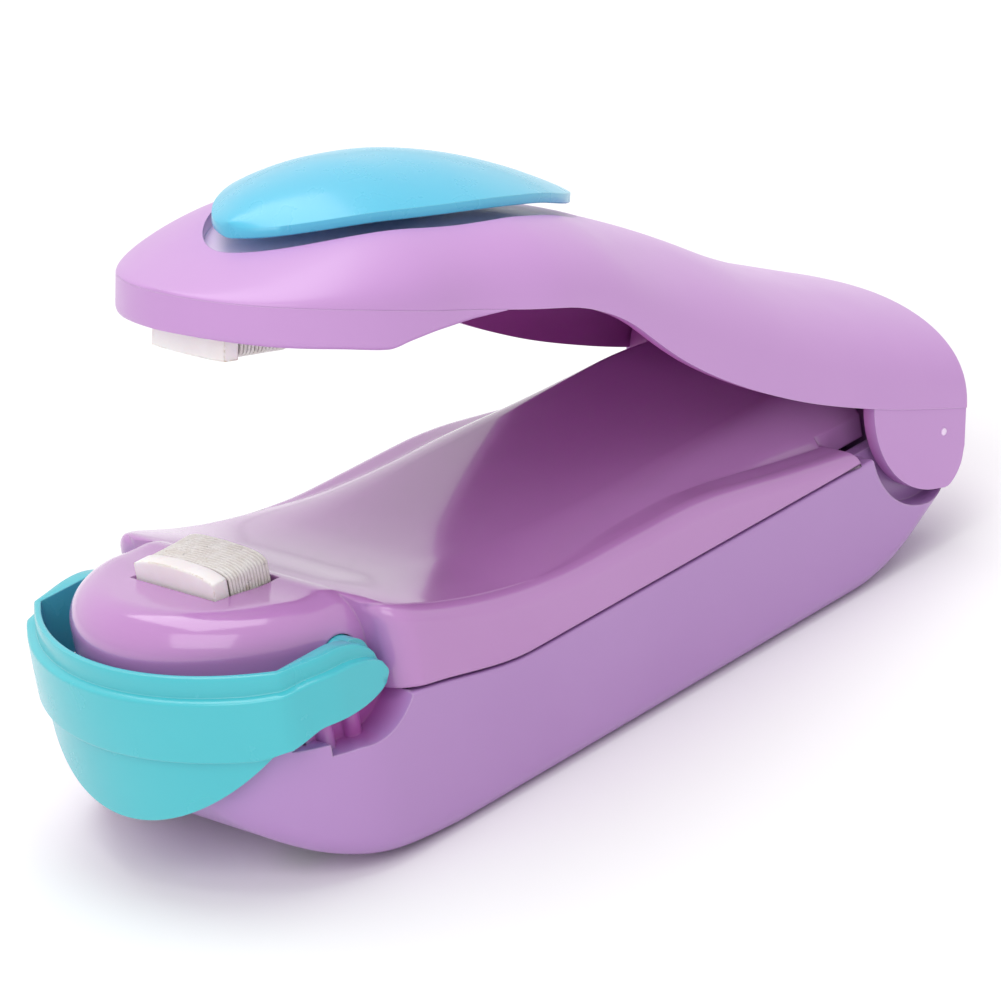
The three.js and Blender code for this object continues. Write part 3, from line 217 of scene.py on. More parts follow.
def round_angles(count: int) -> Array:
    """Spreads that many angles evenly round a circle."""
    return 2 * np.pi * np.arange(count) / count


def coil_angles(loops: float, steps: int) -> Array:
    """Counts the angle along a coil with so many loops and so many steps a loop."""
    return 2 * np.pi * np.arange(round(loops * steps) + 1) / steps


def oval(centre: float, length: float, half: float, fullness: float, count: int) -> Array:
    """Draws a rounded oval of x and y: cosine and sine raised to 2 over the fullness.

    Args:
        centre: the x of its middle.
        length: half its length.
        half: half its width.
        fullness: 2 for an ellipse, more for a squarer shape.
        count: number of points.

    Returns:
        Points of shape (count, 2).
    """
    angle = round_angles(count)
    return np.stack([
        centre + length * power(np.cos(angle), 2 / fullness),
        half * power(np.sin(angle), 2 / fullness),
    ], axis=-1)


def corner_arc(radius: float, count: int) -> Array:
    """Draws a quarter turn from (0, radius) inwards to (radius, 0), as offsets from a square corner."""
    angle = np.linspace(0.0, np.pi / 2, count)
    return radius * np.stack([1 - np.cos(angle), 1 - np.sin(angle)], axis=-1)


def lower_corner(half: Array, low: Array, radius: Array, count: int) -> Array:
    """Draws each section's right lower corner as a quarter turn, from its side down to its flat.

    Args:
        half: each section's half width.
        low: the height of each section's flat.
        radius: each corner's radius.
        count: points in the quarter turn.

    Returns:
        A row of (y, z) points for each section.
    """
    arc = corner_arc(1.0, count)
    return np.stack([half[:, None] - radius[:, None] * arc[:, 0], low[:, None] + radius[:, None] * arc[:, 1]],
                    axis=-1)


def mirrored(right: Array) -> Array:
    """Turns the right half of each section into its left half, in reverse order and with y negated."""
    return right[:, ::-1] * np.array([-1.0, 1.0])


def with_x(x: Array, sections: Array) -> Array:
    """Joins stations of shape (n,) and y, z sections of shape (n, m, 2) into rings of shape (n, m, 3)."""
    column = np.broadcast_to(x[:, None, None], (*sections.shape[:2], 1))
    return np.concatenate([column, sections], axis=-1)


def smooth_path(knots: Array, per_span: int) -> Array:
    """Runs a centripetal Catmull-Rom curve through knots.

    Args:
        knots: points of shape (n, 3).
        per_span: samples in each span.

    Returns:
        Points of shape ((n - 1) * per_span + 1, 3).
    """
    padded = np.vstack([2 * knots[0] - knots[1], knots, 2 * knots[-1] - knots[-2]])
    steps = np.sqrt(np.linalg.norm(np.diff(padded, axis=0), axis=1))[:, None]
    p0, p1, p2, p3 = padded[:-3], padded[1:-2], padded[2:-1], padded[3:]
    d0, d1, d2 = steps[:-2], steps[1:-1], steps[2:]
    m1 = ((p1 - p0) / d0 - (p2 - p0) / (d0 + d1) + (p2 - p1) / d1) * d1
    m2 = ((p2 - p1) / d1 - (p3 - p1) / (d1 + d2) + (p3 - p2) / d2) * d1
    t = np.linspace(0.0, 1.0, per_span, endpoint=False)[None, :, None]
    spans = (
        (2 * t**3 - 3 * t**2 + 1) * p1[:, None] + (t**3 - 2 * t**2 + t) * m1[:, None]
        + (3 * t**2 - 2 * t**3) * p2[:, None] + (t**3 - t**2) * m2[:, None]
    )
    return np.vstack([spans.reshape(-1, 3), knots[-1:]])


# Solids.


class Solid:
    """A closed body held as a mesh, which other bodies can cut, join or limit."""

    def __init__(self, mesh: bpy.types.Mesh) -> None:
        """Keeps the mesh."""
        self.mesh = mesh

    @classmethod
    def from_rings(cls, rings: Array) -> Solid:
        """Skins a row of rings, with flat ends; a signed sum of tetrahedra tells which way the faces look.

        Args:
            rings: points of shape (n, m, 3); the rows follow the body and the columns run round it.

        Returns:
            The closed body, with its faces outwards.
        """
        count, around = rings.shape[:2]
        index = np.arange(count * around).reshape(count, around)
        near, far = index[:-1], index[1:]
        quads = np.stack([near, np.roll(near, -1, 1), np.roll(far, -1, 1), far], axis=-1).reshape(-1, 4)
        faces = quads.tolist()
        points = rings.reshape(-1, 3)
        corners = points[quads]
        volume = np.einsum("ij,ij->", corners[:, 0], np.cross(corners[:, 1], corners[:, 2]))
        volume += np.einsum("ij,ij->", corners[:, 0], np.cross(corners[:, 2], corners[:, 3]))
        faces += [index[0, ::-1].tolist(), index[-1].tolist()]
        for ring, sign in ((rings[0], -1.0), (rings[-1], 1.0)):
            fan = np.cross(ring[1:-1], ring[2:]) @ ring[0]
            volume += sign * fan.sum()
        if volume < 0:
            faces = [face[::-1] for face in faces]
        mesh = bpy.data.meshes.new("solid")
        mesh.from_pydata(points.tolist(), [], faces)
        return cls(mesh)

    @classmethod
    def _along(cls, axis: str, rings: Array) -> Solid:
        """Skins rings that were drawn along X, turned to run along an axis."""
        return cls.from_rings(rings[:, :, AXIS_ORDER[axis]])

    @classmethod
    def box(cls, x: Sequence[float], y: Sequence[float], z: Sequence[float]) -> Solid:
        """Makes a box between two places on each axis, in any order."""
        (y0, y1), (z0, z1) = sorted(y), sorted(z)
        return cls.prism(np.array([[y0, z0], [y1, z0], [y1, z1], [y0, z1]]), "x", x)

    @classmethod
    def rod(cls, axis: str, radius: float, run: Sequence[float], a: float, b: float, sides: int = 64) -> Solid:
        """Makes a round bar along an axis.

        Args:
            axis: x, y or z.
            radius: its radius.
            run: its two ends.
            a: its place on the first of the other two axes.
            b: its place on the second.
            sides: points round it.

        Returns:
            The bar.
        """
        angle = round_angles(sides)
        disc = np.stack([a + radius * np.cos(angle), b + radius * np.sin(angle)], axis=-1)
        return cls.prism(disc, axis, run)

    @classmethod
    def prism(cls, outline: Array, axis: str, run: Sequence[float]) -> Solid:
        """Carries a flat outline along an axis; its two numbers are the other two axes in order."""
        return cls._along(axis, with_x(np.array(sorted(run), float), np.stack([outline, outline])))

    @classmethod
    def slab(cls, x: Array, half: float, low: Array, top: Array) -> Solid:
        """Makes a block of an even half width that lies between two heights at each station.

        Args:
            x: stations.
            half: half its width.
            low: the height of its underside at each station.
            top: the height of its top at each station.

        Returns:
            The block.
        """
        y = np.array([-half, half, half, -half])
        z = np.stack([low, low, top, top], axis=-1)
        return cls.from_rings(with_x(x, np.stack([np.broadcast_to(y, z.shape), z], axis=-1)))

    @classmethod
    def turned(cls, profile: Array, axis: str, a: float, b: float, sides: int = 48) -> Solid:
        """Turns a profile about an axis.

        Args:
            profile: rows of place and radius.
            axis: x, y or z.
            a: the axis's place on the first of the other two.
            b: its place on the second.
            sides: points round it.

        Returns:
            The body.
        """
        angle = round_angles(sides)
        circle = np.stack([np.cos(angle), np.sin(angle)], axis=-1)
        sections = np.array([a, b]) + profile[:, 1][:, None, None] * circle[None]
        return cls._along(axis, with_x(profile[:, 0], sections))

    @classmethod
    def tube(cls, path: Array, radius: Array | float, across: Sequence[float], sides: int = 12) -> Solid:
        """Carries a circle along a path, square to its run.

        Args:
            path: points of shape (n, 3).
            radius: one radius, or one for each point.
            across: a direction that the run never takes.
            sides: points round the circle.

        Returns:
            The tube, with flat ends.
        """
        along = np.gradient(path, axis=0)
        along /= np.linalg.norm(along, axis=1, keepdims=True)
        across = np.asarray(across, float)
        u = across - (along @ across)[:, None] * along
        u /= np.linalg.norm(u, axis=1, keepdims=True)
        v = np.cross(along, u)
        angle = round_angles(sides)
        spokes = np.cos(angle)[None, :, None] * u[:, None] + np.sin(angle)[None, :, None] * v[:, None]
        wide = np.broadcast_to(np.asarray(radius, float), (len(path),))
        return cls.from_rings(path[:, None] + wide[:, None, None] * spokes)

    def points(self) -> Array:
        """Reads the vertices' places.

        Returns:
            Places of shape (n, 3).
        """
        flat = np.empty(len(self.mesh.vertices) * 3)
        self.mesh.vertices.foreach_get("co", flat)
        return flat.reshape(-1, 3)

    def write(self, name: str, values: Array) -> None:
        """Writes one number for each vertex as a named attribute."""
        layer = self.mesh.attributes.new(name, "FLOAT", "POINT")
        layer.data.foreach_set("value", np.ascontiguousarray(values, np.float32))

    def _combine(self, other: Solid, how: Cutting, exact: bool) -> Solid:
        """Applies one boolean modifier and keeps its result.

        Args:
            other: the other body.
            how: what it does.
            exact: takes the slower solver.

        Returns:
            The result as a new solid.
        """
        scene = bpy.context.scene.collection
        body = bpy.data.objects.new("body", self.mesh)
        tool = bpy.data.objects.new("tool", other.mesh)
        scene.objects.link(body)
        scene.objects.link(tool)
        modifier = body.modifiers.new("combine", "BOOLEAN")
        modifier.operation = how.value
        modifier.solver = "EXACT" if exact else "MANIFOLD"
        modifier.object = tool
        graph = bpy.context.evaluated_depsgraph_get()
        mesh = bpy.data.meshes.new_from_object(body.evaluated_get(graph))
        if len(mesh.polygons) == 0:
            raise RuntimeError(f"a {how.name} left nothing")
        bpy.data.objects.remove(body)
        bpy.data.objects.remove(tool)
        return Solid(mesh)

    def _combine_all(self, others: Iterable[Solid], how: Cutting, exact: bool) -> Solid:
        """Combines this body with others, one after another.

        Args:
            others: the other bodies, in order.
            how: what each of them does.
            exact: takes the slower solver that copes with faces that lie on each other.

        Returns:
            The last result.
        """
        result = self
        for other in others:
            result = result._combine(other, how, exact)
        return result

    def cut(self, *others: Solid, exact: bool = False) -> Solid:
        """Takes the others away."""
        return self._combine_all(others, Cutting.CUT, exact)

    def join(self, *others: Solid, exact: bool = False) -> Solid:
        """Adds the others."""
        return self._combine_all(others, Cutting.JOIN, exact)

    def limit(self, other: Solid) -> Solid:
        """Keeps what lies inside the other."""
        return self._combine(other, Cutting.LIMIT, exact=False)


def both_sides(make: Callable[[int], Solid]) -> tuple[Solid, Solid]:
    """Makes the near piece with -1 and the far piece with 1."""
    return make(-1), make(1)


# Finishes.


def linear(colour: str) -> tuple[float, float, float, float]:
    """Turns a written colour such as "b184c8" into linear light."""
    shown = np.array([int(colour[i : i + 2], 16) for i in (0, 2, 4)]) / 255
    return (*np.where(shown <= 0.04045, shown / 12.92, ((shown + 0.055) / 1.055) ** 2.4).tolist(), 1.0)


class NodeSheet:
    """A node tree with short calls for adding nodes and joining sockets."""

    def __init__(self, tree: bpy.types.NodeTree) -> None:
        """Keeps the tree."""
        self.tree = tree

    def add(self, kind: str, **settings: object) -> bpy.types.Node:
        """Adds a node.

        Args:
            kind: Blender's name for it.
            settings: its properties.

        Returns:
            The node.
        """
        node = self.tree.nodes.new(kind)
        for name, value in settings.items():
            setattr(node, name, value)
        return node

    def join(self, source: bpy.types.NodeSocket, target: bpy.types.NodeSocket) -> None:
        """Joins two sockets."""
        self.tree.links.new(source, target)

    def feed(self, socket: bpy.types.NodeSocket, value: object) -> None:
        """Sets a socket from a number or colour, or joins it to another socket.

        Args:
            socket: the socket to feed.
            value: a number, a colour or another socket.
        """
        if isinstance(value, bpy.types.NodeSocket):
            self.join(value, socket)
        else:
            socket.default_value = value

    def fill(self, node: bpy.types.Node, **values: object) -> bpy.types.Node:
        """Feeds a node's inputs by name; underscores in a name stand for spaces.

        Args:
            node: the node.
            values: a number, colour or socket for each named input.

        Returns:
            The same node.
        """
        for name, value in values.items():
            self.feed(node.inputs[name.replace("_", " ")], value)
        return node

    def fill_in_order(self, node: bpy.types.Node, *values: object) -> bpy.types.NodeSocket:
        """Feeds a node's first inputs and gives its first output.

        Args:
            node: the node.
            values: a number, colour or socket for each of the inputs, in order.

        Returns:
            The node's result.
        """
        for socket, value in zip(node.inputs, values):
            self.feed(socket, value)
        return node.outputs[0]

    def use(self, tree: bpy.types.NodeTree, **values: object) -> bpy.types.Node:
        """Places a node group and feeds its inputs."""
        return self.fill(self.add("ShaderNodeGroup", node_tree=tree), **values)

    def place(self, kind: str = "Object") -> bpy.types.NodeSocket:
        """Adds the surface's own coordinates."""
        return self.add("ShaderNodeTexCoord").outputs[kind]

    def number(self, name: str) -> bpy.types.NodeSocket:
        """Adds the number that a piece carries at each vertex under a name."""
        return self.add("ShaderNodeAttribute", attribute_name=name).outputs["Fac"]

    def math(self, how: str, a: object, b: object = 0.0, clamp: bool = False) -> bpy.types.NodeSocket:
        """Adds a Math node and returns its value."""
        return self.fill_in_order(self.add("ShaderNodeMath", operation=how, use_clamp=clamp), a, b)

    def mix(self, share: object, a: object, b: object) -> bpy.types.NodeSocket:
        """Mixes two colours.

        Args:
            share: 0 for the first colour, 1 for the second.
            a: the first colour.
            b: the second colour.

        Returns:
            The mixed colour.
        """
        node = self.add("ShaderNodeMix", data_type="RGBA")
        self.feed(node.inputs[0], share)
        self.feed(node.inputs[6], a)
        self.feed(node.inputs[7], b)
        return node.outputs[2]

    def ramp(self, value: object, low: object, high: object) -> bpy.types.NodeSocket:
        """Rises smoothly from 0 where the value is low to 1 where it is high."""
        node = self.add("ShaderNodeMapRange", interpolation_type="SMOOTHSTEP")
        return self.fill_in_order(node, value, low, high)

    def noise(self, vector: object, scale: object, detail: float = 3.0) -> bpy.types.NodeSocket:
        """Adds noise and returns its value."""
        return self.fill(self.add("ShaderNodeTexNoise"), Vector=vector, Scale=scale, Detail=detail).outputs[0]


def group_with(
    name: str, ins: Iterable[tuple[str, str, object]], outs: Iterable[tuple[str, str]],
) -> tuple[NodeSheet, bpy.types.NodeOutputs, bpy.types.NodeInputs]:
    """Starts a node group with named sockets.

    Args:
        name: the group's name.
        ins: name, kind (Float, Color or Vector) and first value of each input.
        outs: name and kind of each output.

    Returns:
        The sheet of the new group, the sockets that its inputs come from and those that its outputs go to.
    """
    tree = bpy.data.node_groups.new(name, "ShaderNodeTree")
    for label, kind, value in ins:
        socket = tree.interface.new_socket(label, in_out="INPUT", socket_type=f"NodeSocket{kind}")
        socket.default_value = value
    for label, kind in outs:
        tree.interface.new_socket(label, in_out="OUTPUT", socket_type=f"NodeSocket{kind}")
    sheet = NodeSheet(tree)
    return sheet, sheet.add("NodeGroupInput").outputs, sheet.add("NodeGroupOutput").inputs


class Effects:
    """The effects that several finishes share, each a node group built once."""

    def __init__(self) -> None:
        """Builds the groups."""
        self.soft_edges = self._soft_edges()
        self.mottle = self._mottle()
        self.dust = self._dust()
        self.stains = self._stains()

    @staticmethod
    def _soft_edges() -> bpy.types.NodeTree:
        """Rounds sharp edges in the normal, and puts out a mask along them.

        The mask is one minus the dot product of the rounded and the plain normal, spread over 0 to 1.

        Returns:
            The group.
        """
        sheet, source, result = group_with(
            "soft_edges",
            [("Width", "Float", 0.00025), ("Reach", "Float", 0.12)],
            [("Mask", "Float"), ("Normal", "Vector")],
        )
        bevel = sheet.fill(sheet.add("ShaderNodeBevel", samples=6), Radius=source["Width"])
        plain = sheet.add("ShaderNodeNewGeometry")
        dot = sheet.add("ShaderNodeVectorMath", operation="DOT_PRODUCT")
        sheet.join(bevel.outputs[0], dot.inputs[0])
        sheet.join(plain.outputs["Normal"], dot.inputs[1])
        turned = sheet.math("SUBTRACT", 1.0, dot.outputs["Value"], clamp=True)
        least_turn = 0.004
        sheet.join(sheet.ramp(turned, least_turn, source["Reach"]), result["Mask"])
        sheet.join(bevel.outputs[0], result["Normal"])
        return sheet.tree

    @staticmethod
    def _mottle() -> bpy.types.NodeTree:
        """Varies a colour and a roughness slowly over the surface, and adds a fine moulded grain to a normal.

        Returns:
            The group.
        """
        sheet, source, result = group_with(
            "mottle",
            [
                ("Color", "Color", (0.5, 0.5, 0.5, 1)), ("Shade", "Color", (0.4, 0.4, 0.4, 1)),
                ("Amount", "Float", 0.3), ("Scale", "Float", 60.0), ("Roughness", "Float", 0.3),
                ("Spread", "Float", 0.06), ("Grain Scale", "Float", 2600.0), ("Grain Depth", "Float", 0.00001),
                ("Normal", "Vector", (0, 0, 0)),
            ],
            [("Color", "Color"), ("Roughness", "Float"), ("Normal", "Vector")],
        )
        place = sheet.place()
        broad = sheet.noise(place, source["Scale"], 4.0)
        share = sheet.math("MULTIPLY", sheet.ramp(broad, 0.35, 0.7), source["Amount"])
        sheet.join(sheet.mix(share, source["Color"], source["Shade"]), result["Color"])
        fine = sheet.noise(place, source["Grain Scale"], 2.0)
        patches = sheet.noise(place, sheet.math("MULTIPLY", source["Scale"], 7.0), 5.0)
        spread = sheet.math("MULTIPLY", sheet.math("SUBTRACT", patches, 0.5), source["Spread"])
        rough = sheet.math("ADD", source["Roughness"], spread, clamp=True)
        sheet.join(rough, result["Roughness"])
        bump = sheet.fill(
            sheet.add("ShaderNodeBump"), Strength=1.0, Distance=source["Grain Depth"], Height=fine,
            Normal=source["Normal"],
        )
        sheet.join(bump.outputs[0], result["Normal"])
        return sheet.tree

    @staticmethod
    def _dust() -> bpy.types.NodeTree:
        """Scatters small flecks: a cell's fleck shows where its random number passes one minus the density.

        Returns:
            The group.
        """
        sheet, source, result = group_with(
            "dust",
            [
                ("Color", "Color", (0.5, 0.5, 0.5, 1)), ("Fleck", "Color", (0.1, 0.07, 0.08, 1)),
                ("Scale", "Float", 260.0), ("Density", "Float", 0.02), ("Size", "Float", 0.05),
            ],
            [("Color", "Color")],
        )
        place = sheet.place()
        cells = sheet.fill(sheet.add("ShaderNodeTexVoronoi"), Vector=place, Scale=source["Scale"])
        lot = sheet.add("ShaderNodeSeparateColor")
        sheet.join(cells.outputs["Color"], lot.inputs[0])
        size = sheet.math("MULTIPLY", source["Size"], sheet.math("ADD", lot.outputs[1], 0.4))
        near = sheet.ramp(cells.outputs["Distance"], size, 0.0)
        chosen = sheet.math("GREATER_THAN", lot.outputs[0], sheet.math("SUBTRACT", 1.0, source["Density"]))
        mask = sheet.math("MULTIPLY", near, chosen, clamp=True)
        sheet.join(sheet.mix(mask, source["Color"], source["Fleck"]), result["Color"])
        return sheet.tree

    @staticmethod
    def _stains() -> bpy.types.NodeTree:
        """Lays blotches of a second colour where broad noise passes a level, broken up by finer noise.

        Returns:
            The group.
        """
        sheet, source, result = group_with(
            "stains",
            [
                ("Color", "Color", (0.8, 0.8, 0.8, 1)), ("Stain", "Color", (0.4, 0.25, 0.1, 1)),
                ("Scale", "Float", 400.0), ("Level", "Float", 0.6), ("Amount", "Float", 0.6),
            ],
            [("Color", "Color")],
        )
        place = sheet.place()
        broad = sheet.noise(place, source["Scale"], 2.0)
        fine = sheet.noise(place, sheet.math("MULTIPLY", source["Scale"], 5.0), 3.0)
        both = sheet.math("ADD", sheet.math("MULTIPLY", broad, 0.7), sheet.math("MULTIPLY", fine, 0.3))
        level = sheet.ramp(both, source["Level"], sheet.math("ADD", source["Level"], 0.12))
        mask = sheet.math("MULTIPLY", level, source["Amount"])
        sheet.join(sheet.mix(mask, source["Color"], source["Stain"]), result["Color"])
        return sheet.tree


def blank_material(name: str) -> tuple[bpy.types.Material, NodeSheet, bpy.types.Node]:
    """Starts a material with nothing but its shader.

    Args:
        name: the material's name.

    Returns:
        The material, its sheet and its shader.
    """
    material = bpy.data.materials.new(name)
    material.use_nodes = True
    sheet = NodeSheet(material.node_tree)
    return material, sheet, material.node_tree.nodes["Principled BSDF"]


@dataclass(frozen=True)
class Surface(ABC):
    """What every finish has: a name and a way to feed its shader."""

    name: str

    @abstractmethod
    def paint(self, sheet: NodeSheet, shader: bpy.types.Node, effects: Effects) -> None:
        """Feeds the shader.

        Args:
            sheet: the material's sheet.
            shader: its shader.
            effects: the shared effects.
        """

    def make(self, effects: Effects) -> bpy.types.Material:
        """Builds the material.

        Args:
            effects: the shared effects.

        Returns:
            The new material.
        """
        material, sheet, shader = blank_material(self.name)
        self.paint(sheet, shader, effects)
        return material


@dataclass(frozen=True)
class MouldedPlastic(Surface):
    """Glossy injection-moulded plastic with soft edges, faint mottling and a few flecks of dust; it also
    carries a painted highlight along its edges, painted shade where the "hollow" attribute is set and painted
    light where the "sunk" attribute is set.
    """

    colour: str
    shade: str
    # edge is the colour of a painted highlight along sharp edges.
    edge: str
    roughness: float = 0.3
    coat: float = 0.25
    painted_highlight_share: float = 0.45
    subsurface: float = 0.06
    density: float = 0.012
    soften: float = 0.00028
    # painted shade: a deep magenta mixed in by the "hollow" attribute, for the shade inside the shell, the bail
    # notches and the ears.
    painted_shade_colour: str = "bd62b5"
    # painted light: a pale lilac mixed in by the "sunk" attribute, lightening the recess and putting a glint on
    # the ear dots.
    pale: str = "f3dcf8"

    def paint(self, sheet: NodeSheet, shader: bpy.types.Node, effects: Effects) -> None:
        """Feeds the shader.

        Args:
            sheet: the material's sheet.
            shader: its shader.
            effects: the shared effects.
        """
        edges = sheet.use(effects.soft_edges, Width=self.soften, Reach=0.14)
        mottle = sheet.use(
            effects.mottle, Color=linear(self.colour), Shade=linear(self.shade), Amount=0.35, Scale=45.0,
            Roughness=self.roughness, Spread=0.1, Normal=edges.outputs["Normal"], Grain_Depth=0.0000008,
        )
        # Painted highlight along the edges, then painted shade where the mesh is marked hollow and painted
        # light where it is marked sunk.
        share = sheet.math("MULTIPLY", edges.outputs["Mask"], self.painted_highlight_share)
        lit = sheet.mix(share, mottle.outputs["Color"], linear(self.edge))
        lit = sheet.mix(sheet.number("hollow"), lit, linear(self.painted_shade_colour))
        lit = sheet.mix(sheet.number("sunk"), lit, linear(self.pale))
        dust = sheet.use(effects.dust, Color=lit, Density=self.density, Scale=420.0, Size=0.16)
        sheet.fill(
            shader, Base_Color=dust.outputs["Color"], Roughness=mottle.outputs["Roughness"],
            Normal=mottle.outputs["Normal"], Coat_Weight=self.coat, Coat_Roughness=0.4 * self.roughness,
            Subsurface_Weight=self.subsurface, Subsurface_Radius=(1.0, 0.7, 1.0), Subsurface_Scale=0.0006,
        )


@dataclass(frozen=True)
class PlainMetal(Surface):
    """Drawn or pressed metal with fine scratches and slightly dulled patches."""

    colour: str
    shade: str
    roughness: float = 0.3

    def paint(self, sheet: NodeSheet, shader: bpy.types.Node, effects: Effects) -> None:
        """Feeds the shader.

        Args:
            sheet: the material's sheet.
            shader: its shader.
            effects: the shared effects.
        """
        edges = sheet.use(effects.soft_edges, Width=0.00012)
        mottle = sheet.use(
            effects.mottle, Color=linear(self.colour), Shade=linear(self.shade), Amount=0.6, Scale=350.0,
            Roughness=self.roughness, Spread=0.25, Normal=edges.outputs["Normal"], Grain_Scale=9000.0,
            Grain_Depth=0.000002,
        )
        stains = sheet.use(
            effects.stains, Color=mottle.outputs["Color"], Stain=linear("6a5a46"), Scale=500.0,
            Level=0.62, Amount=0.35,
        )
        sheet.fill(
            shader, Base_Color=stains.outputs["Color"], Roughness=mottle.outputs["Roughness"],
            Normal=mottle.outputs["Normal"], Metallic=1.0,
        )


@dataclass(frozen=True)
class FiredCeramic(Surface):
    """White fired ceramic with scorched edges and dark pores."""

    def paint(self, sheet: NodeSheet, shader: bpy.types.Node, effects: Effects) -> None:
        """Feeds the shader.

        Args:
            sheet: the material's sheet.
            shader: its shader.
            effects: the shared effects.
        """
        edges = sheet.use(effects.soft_edges, Width=0.00035, Reach=0.25)
        mottle = sheet.use(
            effects.mottle, Color=linear("fbf8f5"), Shade=linear("efe8e2"), Amount=0.4, Scale=300.0,
            Roughness=0.5, Spread=0.15, Normal=edges.outputs["Normal"], Grain_Scale=5000.0, Grain_Depth=0.00001,
        )
        scorch = sheet.use(
            effects.stains, Color=mottle.outputs["Color"], Stain=linear("b08a58"), Scale=700.0,
            Level=0.42, Amount=sheet.math("MULTIPLY", edges.outputs["Mask"], 0.9),
        )
        pores = sheet.use(
            effects.dust, Color=scorch.outputs["Color"], Fleck=linear("55402e"), Scale=900.0,
            Density=0.02, Size=0.2,
        )
        sheet.fill(
            shader, Base_Color=pores.outputs["Color"], Roughness=mottle.outputs["Roughness"],
            Normal=mottle.outputs["Normal"], Subsurface_Weight=0.1, Subsurface_Scale=0.0006,
        )


@dataclass(frozen=True)
class SleevedWire(Surface):
    """Woven fibre sleeve: off-white threads with a twill bump, grey scuffs and scorched patches."""

    colour: str = "f8f5f0"
    shade: str = "e9e2d8"
    stain: str = "a98a5c"

    def paint(self, sheet: NodeSheet, shader: bpy.types.Node, effects: Effects) -> None:
        """Feeds the shader.

        Args:
            sheet: the material's sheet.
            shader: its shader.
            effects: the shared effects.
        """
        bands = sheet.add("ShaderNodeTexWave", wave_type="BANDS", bands_direction="DIAGONAL")
        weave = sheet.fill(bands, Vector=sheet.place("UV"), Scale=1.0, Distortion=1.5).outputs["Fac"]
        mottle = sheet.use(
            effects.mottle, Color=linear(self.colour), Shade=linear(self.shade), Amount=0.8, Scale=900.0,
            Roughness=0.85, Spread=0.1, Grain_Scale=6000.0, Grain_Depth=0.00002,
        )
        thread = sheet.mix(
            sheet.math("MULTIPLY", weave, 0.3), mottle.outputs["Color"], linear("f7f4ee"),
        )
        scuffs = sheet.use(
            effects.stains, Color=thread, Stain=linear("6f7275"), Scale=1300.0, Level=0.6, Amount=0.4,
        )
        scorch = sheet.use(
            effects.stains, Color=scuffs.outputs["Color"], Stain=linear(self.stain), Scale=500.0,
            Level=0.6, Amount=0.4,
        )
        bump = sheet.fill(
            sheet.add("ShaderNodeBump"), Strength=0.8, Distance=0.00003, Height=weave,
            Normal=mottle.outputs["Normal"],
        )
        sheet.fill(
            shader, Base_Color=scorch.outputs["Color"], Roughness=mottle.outputs["Roughness"],
            Normal=bump.outputs[0], Sheen_Weight=0.3,
        )


class Finish(Enum):
    """Every finish on the part."""

    # The third colour of each plastic is its painted highlight along the edges.
    SHELL_LILAC = MouldedPlastic("shell_lilac", "b58ac5", "ad80bd", "dcb9e2")
    # The deck's colour is tinted pinker and redder than the shell's, as painted shade under the arm; its gloss
    # is its own.
    DECK_LILAC_SHADED = MouldedPlastic("deck_lilac", "bd88c3", "b47cba", "d2a4d2", roughness=0.16, coat=0.5,
                                painted_highlight_share=0.2, subsurface=0.12)
    ARM_LILAC = MouldedPlastic("arm_lilac", "c796d1", "bf8dcb", "e6cbee", roughness=0.36, coat=0.12,
                               soften=0.0001, painted_highlight_share=0.6)
    BAIL_TEAL = MouldedPlastic("bail_teal", "49c2cd", "41b7c4", "a6e4e9", roughness=0.26, soften=0.00015)
    PAD_BLUE = MouldedPlastic("pad_blue", "55c1e0", "4cb8da", "a9e6f4", roughness=0.28, coat=0.2, density=0.006,
                              soften=0.0001)
    STEEL = PlainMetal("drawn_steel", "c3c6ca", "9b9ea3")
    NICKEL = PlainMetal("nickel_plate", "d2cfc4", "b1aea4", roughness=0.24)
    CERAMIC = FiredCeramic("fired_ceramic")
    FIBRE = SleevedWire("fibre_sleeve")
    PHENOLIC = MouldedPlastic("phenolic_block", "4a4038", "3d352f", "6d6156", roughness=0.55, coat=0.0)
    JACKET = MouldedPlastic("cell_jacket", "6c737b", "5f666e", "9aa1a8", roughness=0.35)
    RED_LEAD = MouldedPlastic("red_sleeve", "b5342c", "a42c25", "d0645c", roughness=0.45, coat=0.1)
    BLACK_LEAD = MouldedPlastic("black_sleeve", "26262a", "1d1d20", "55555c", roughness=0.45, coat=0.1)


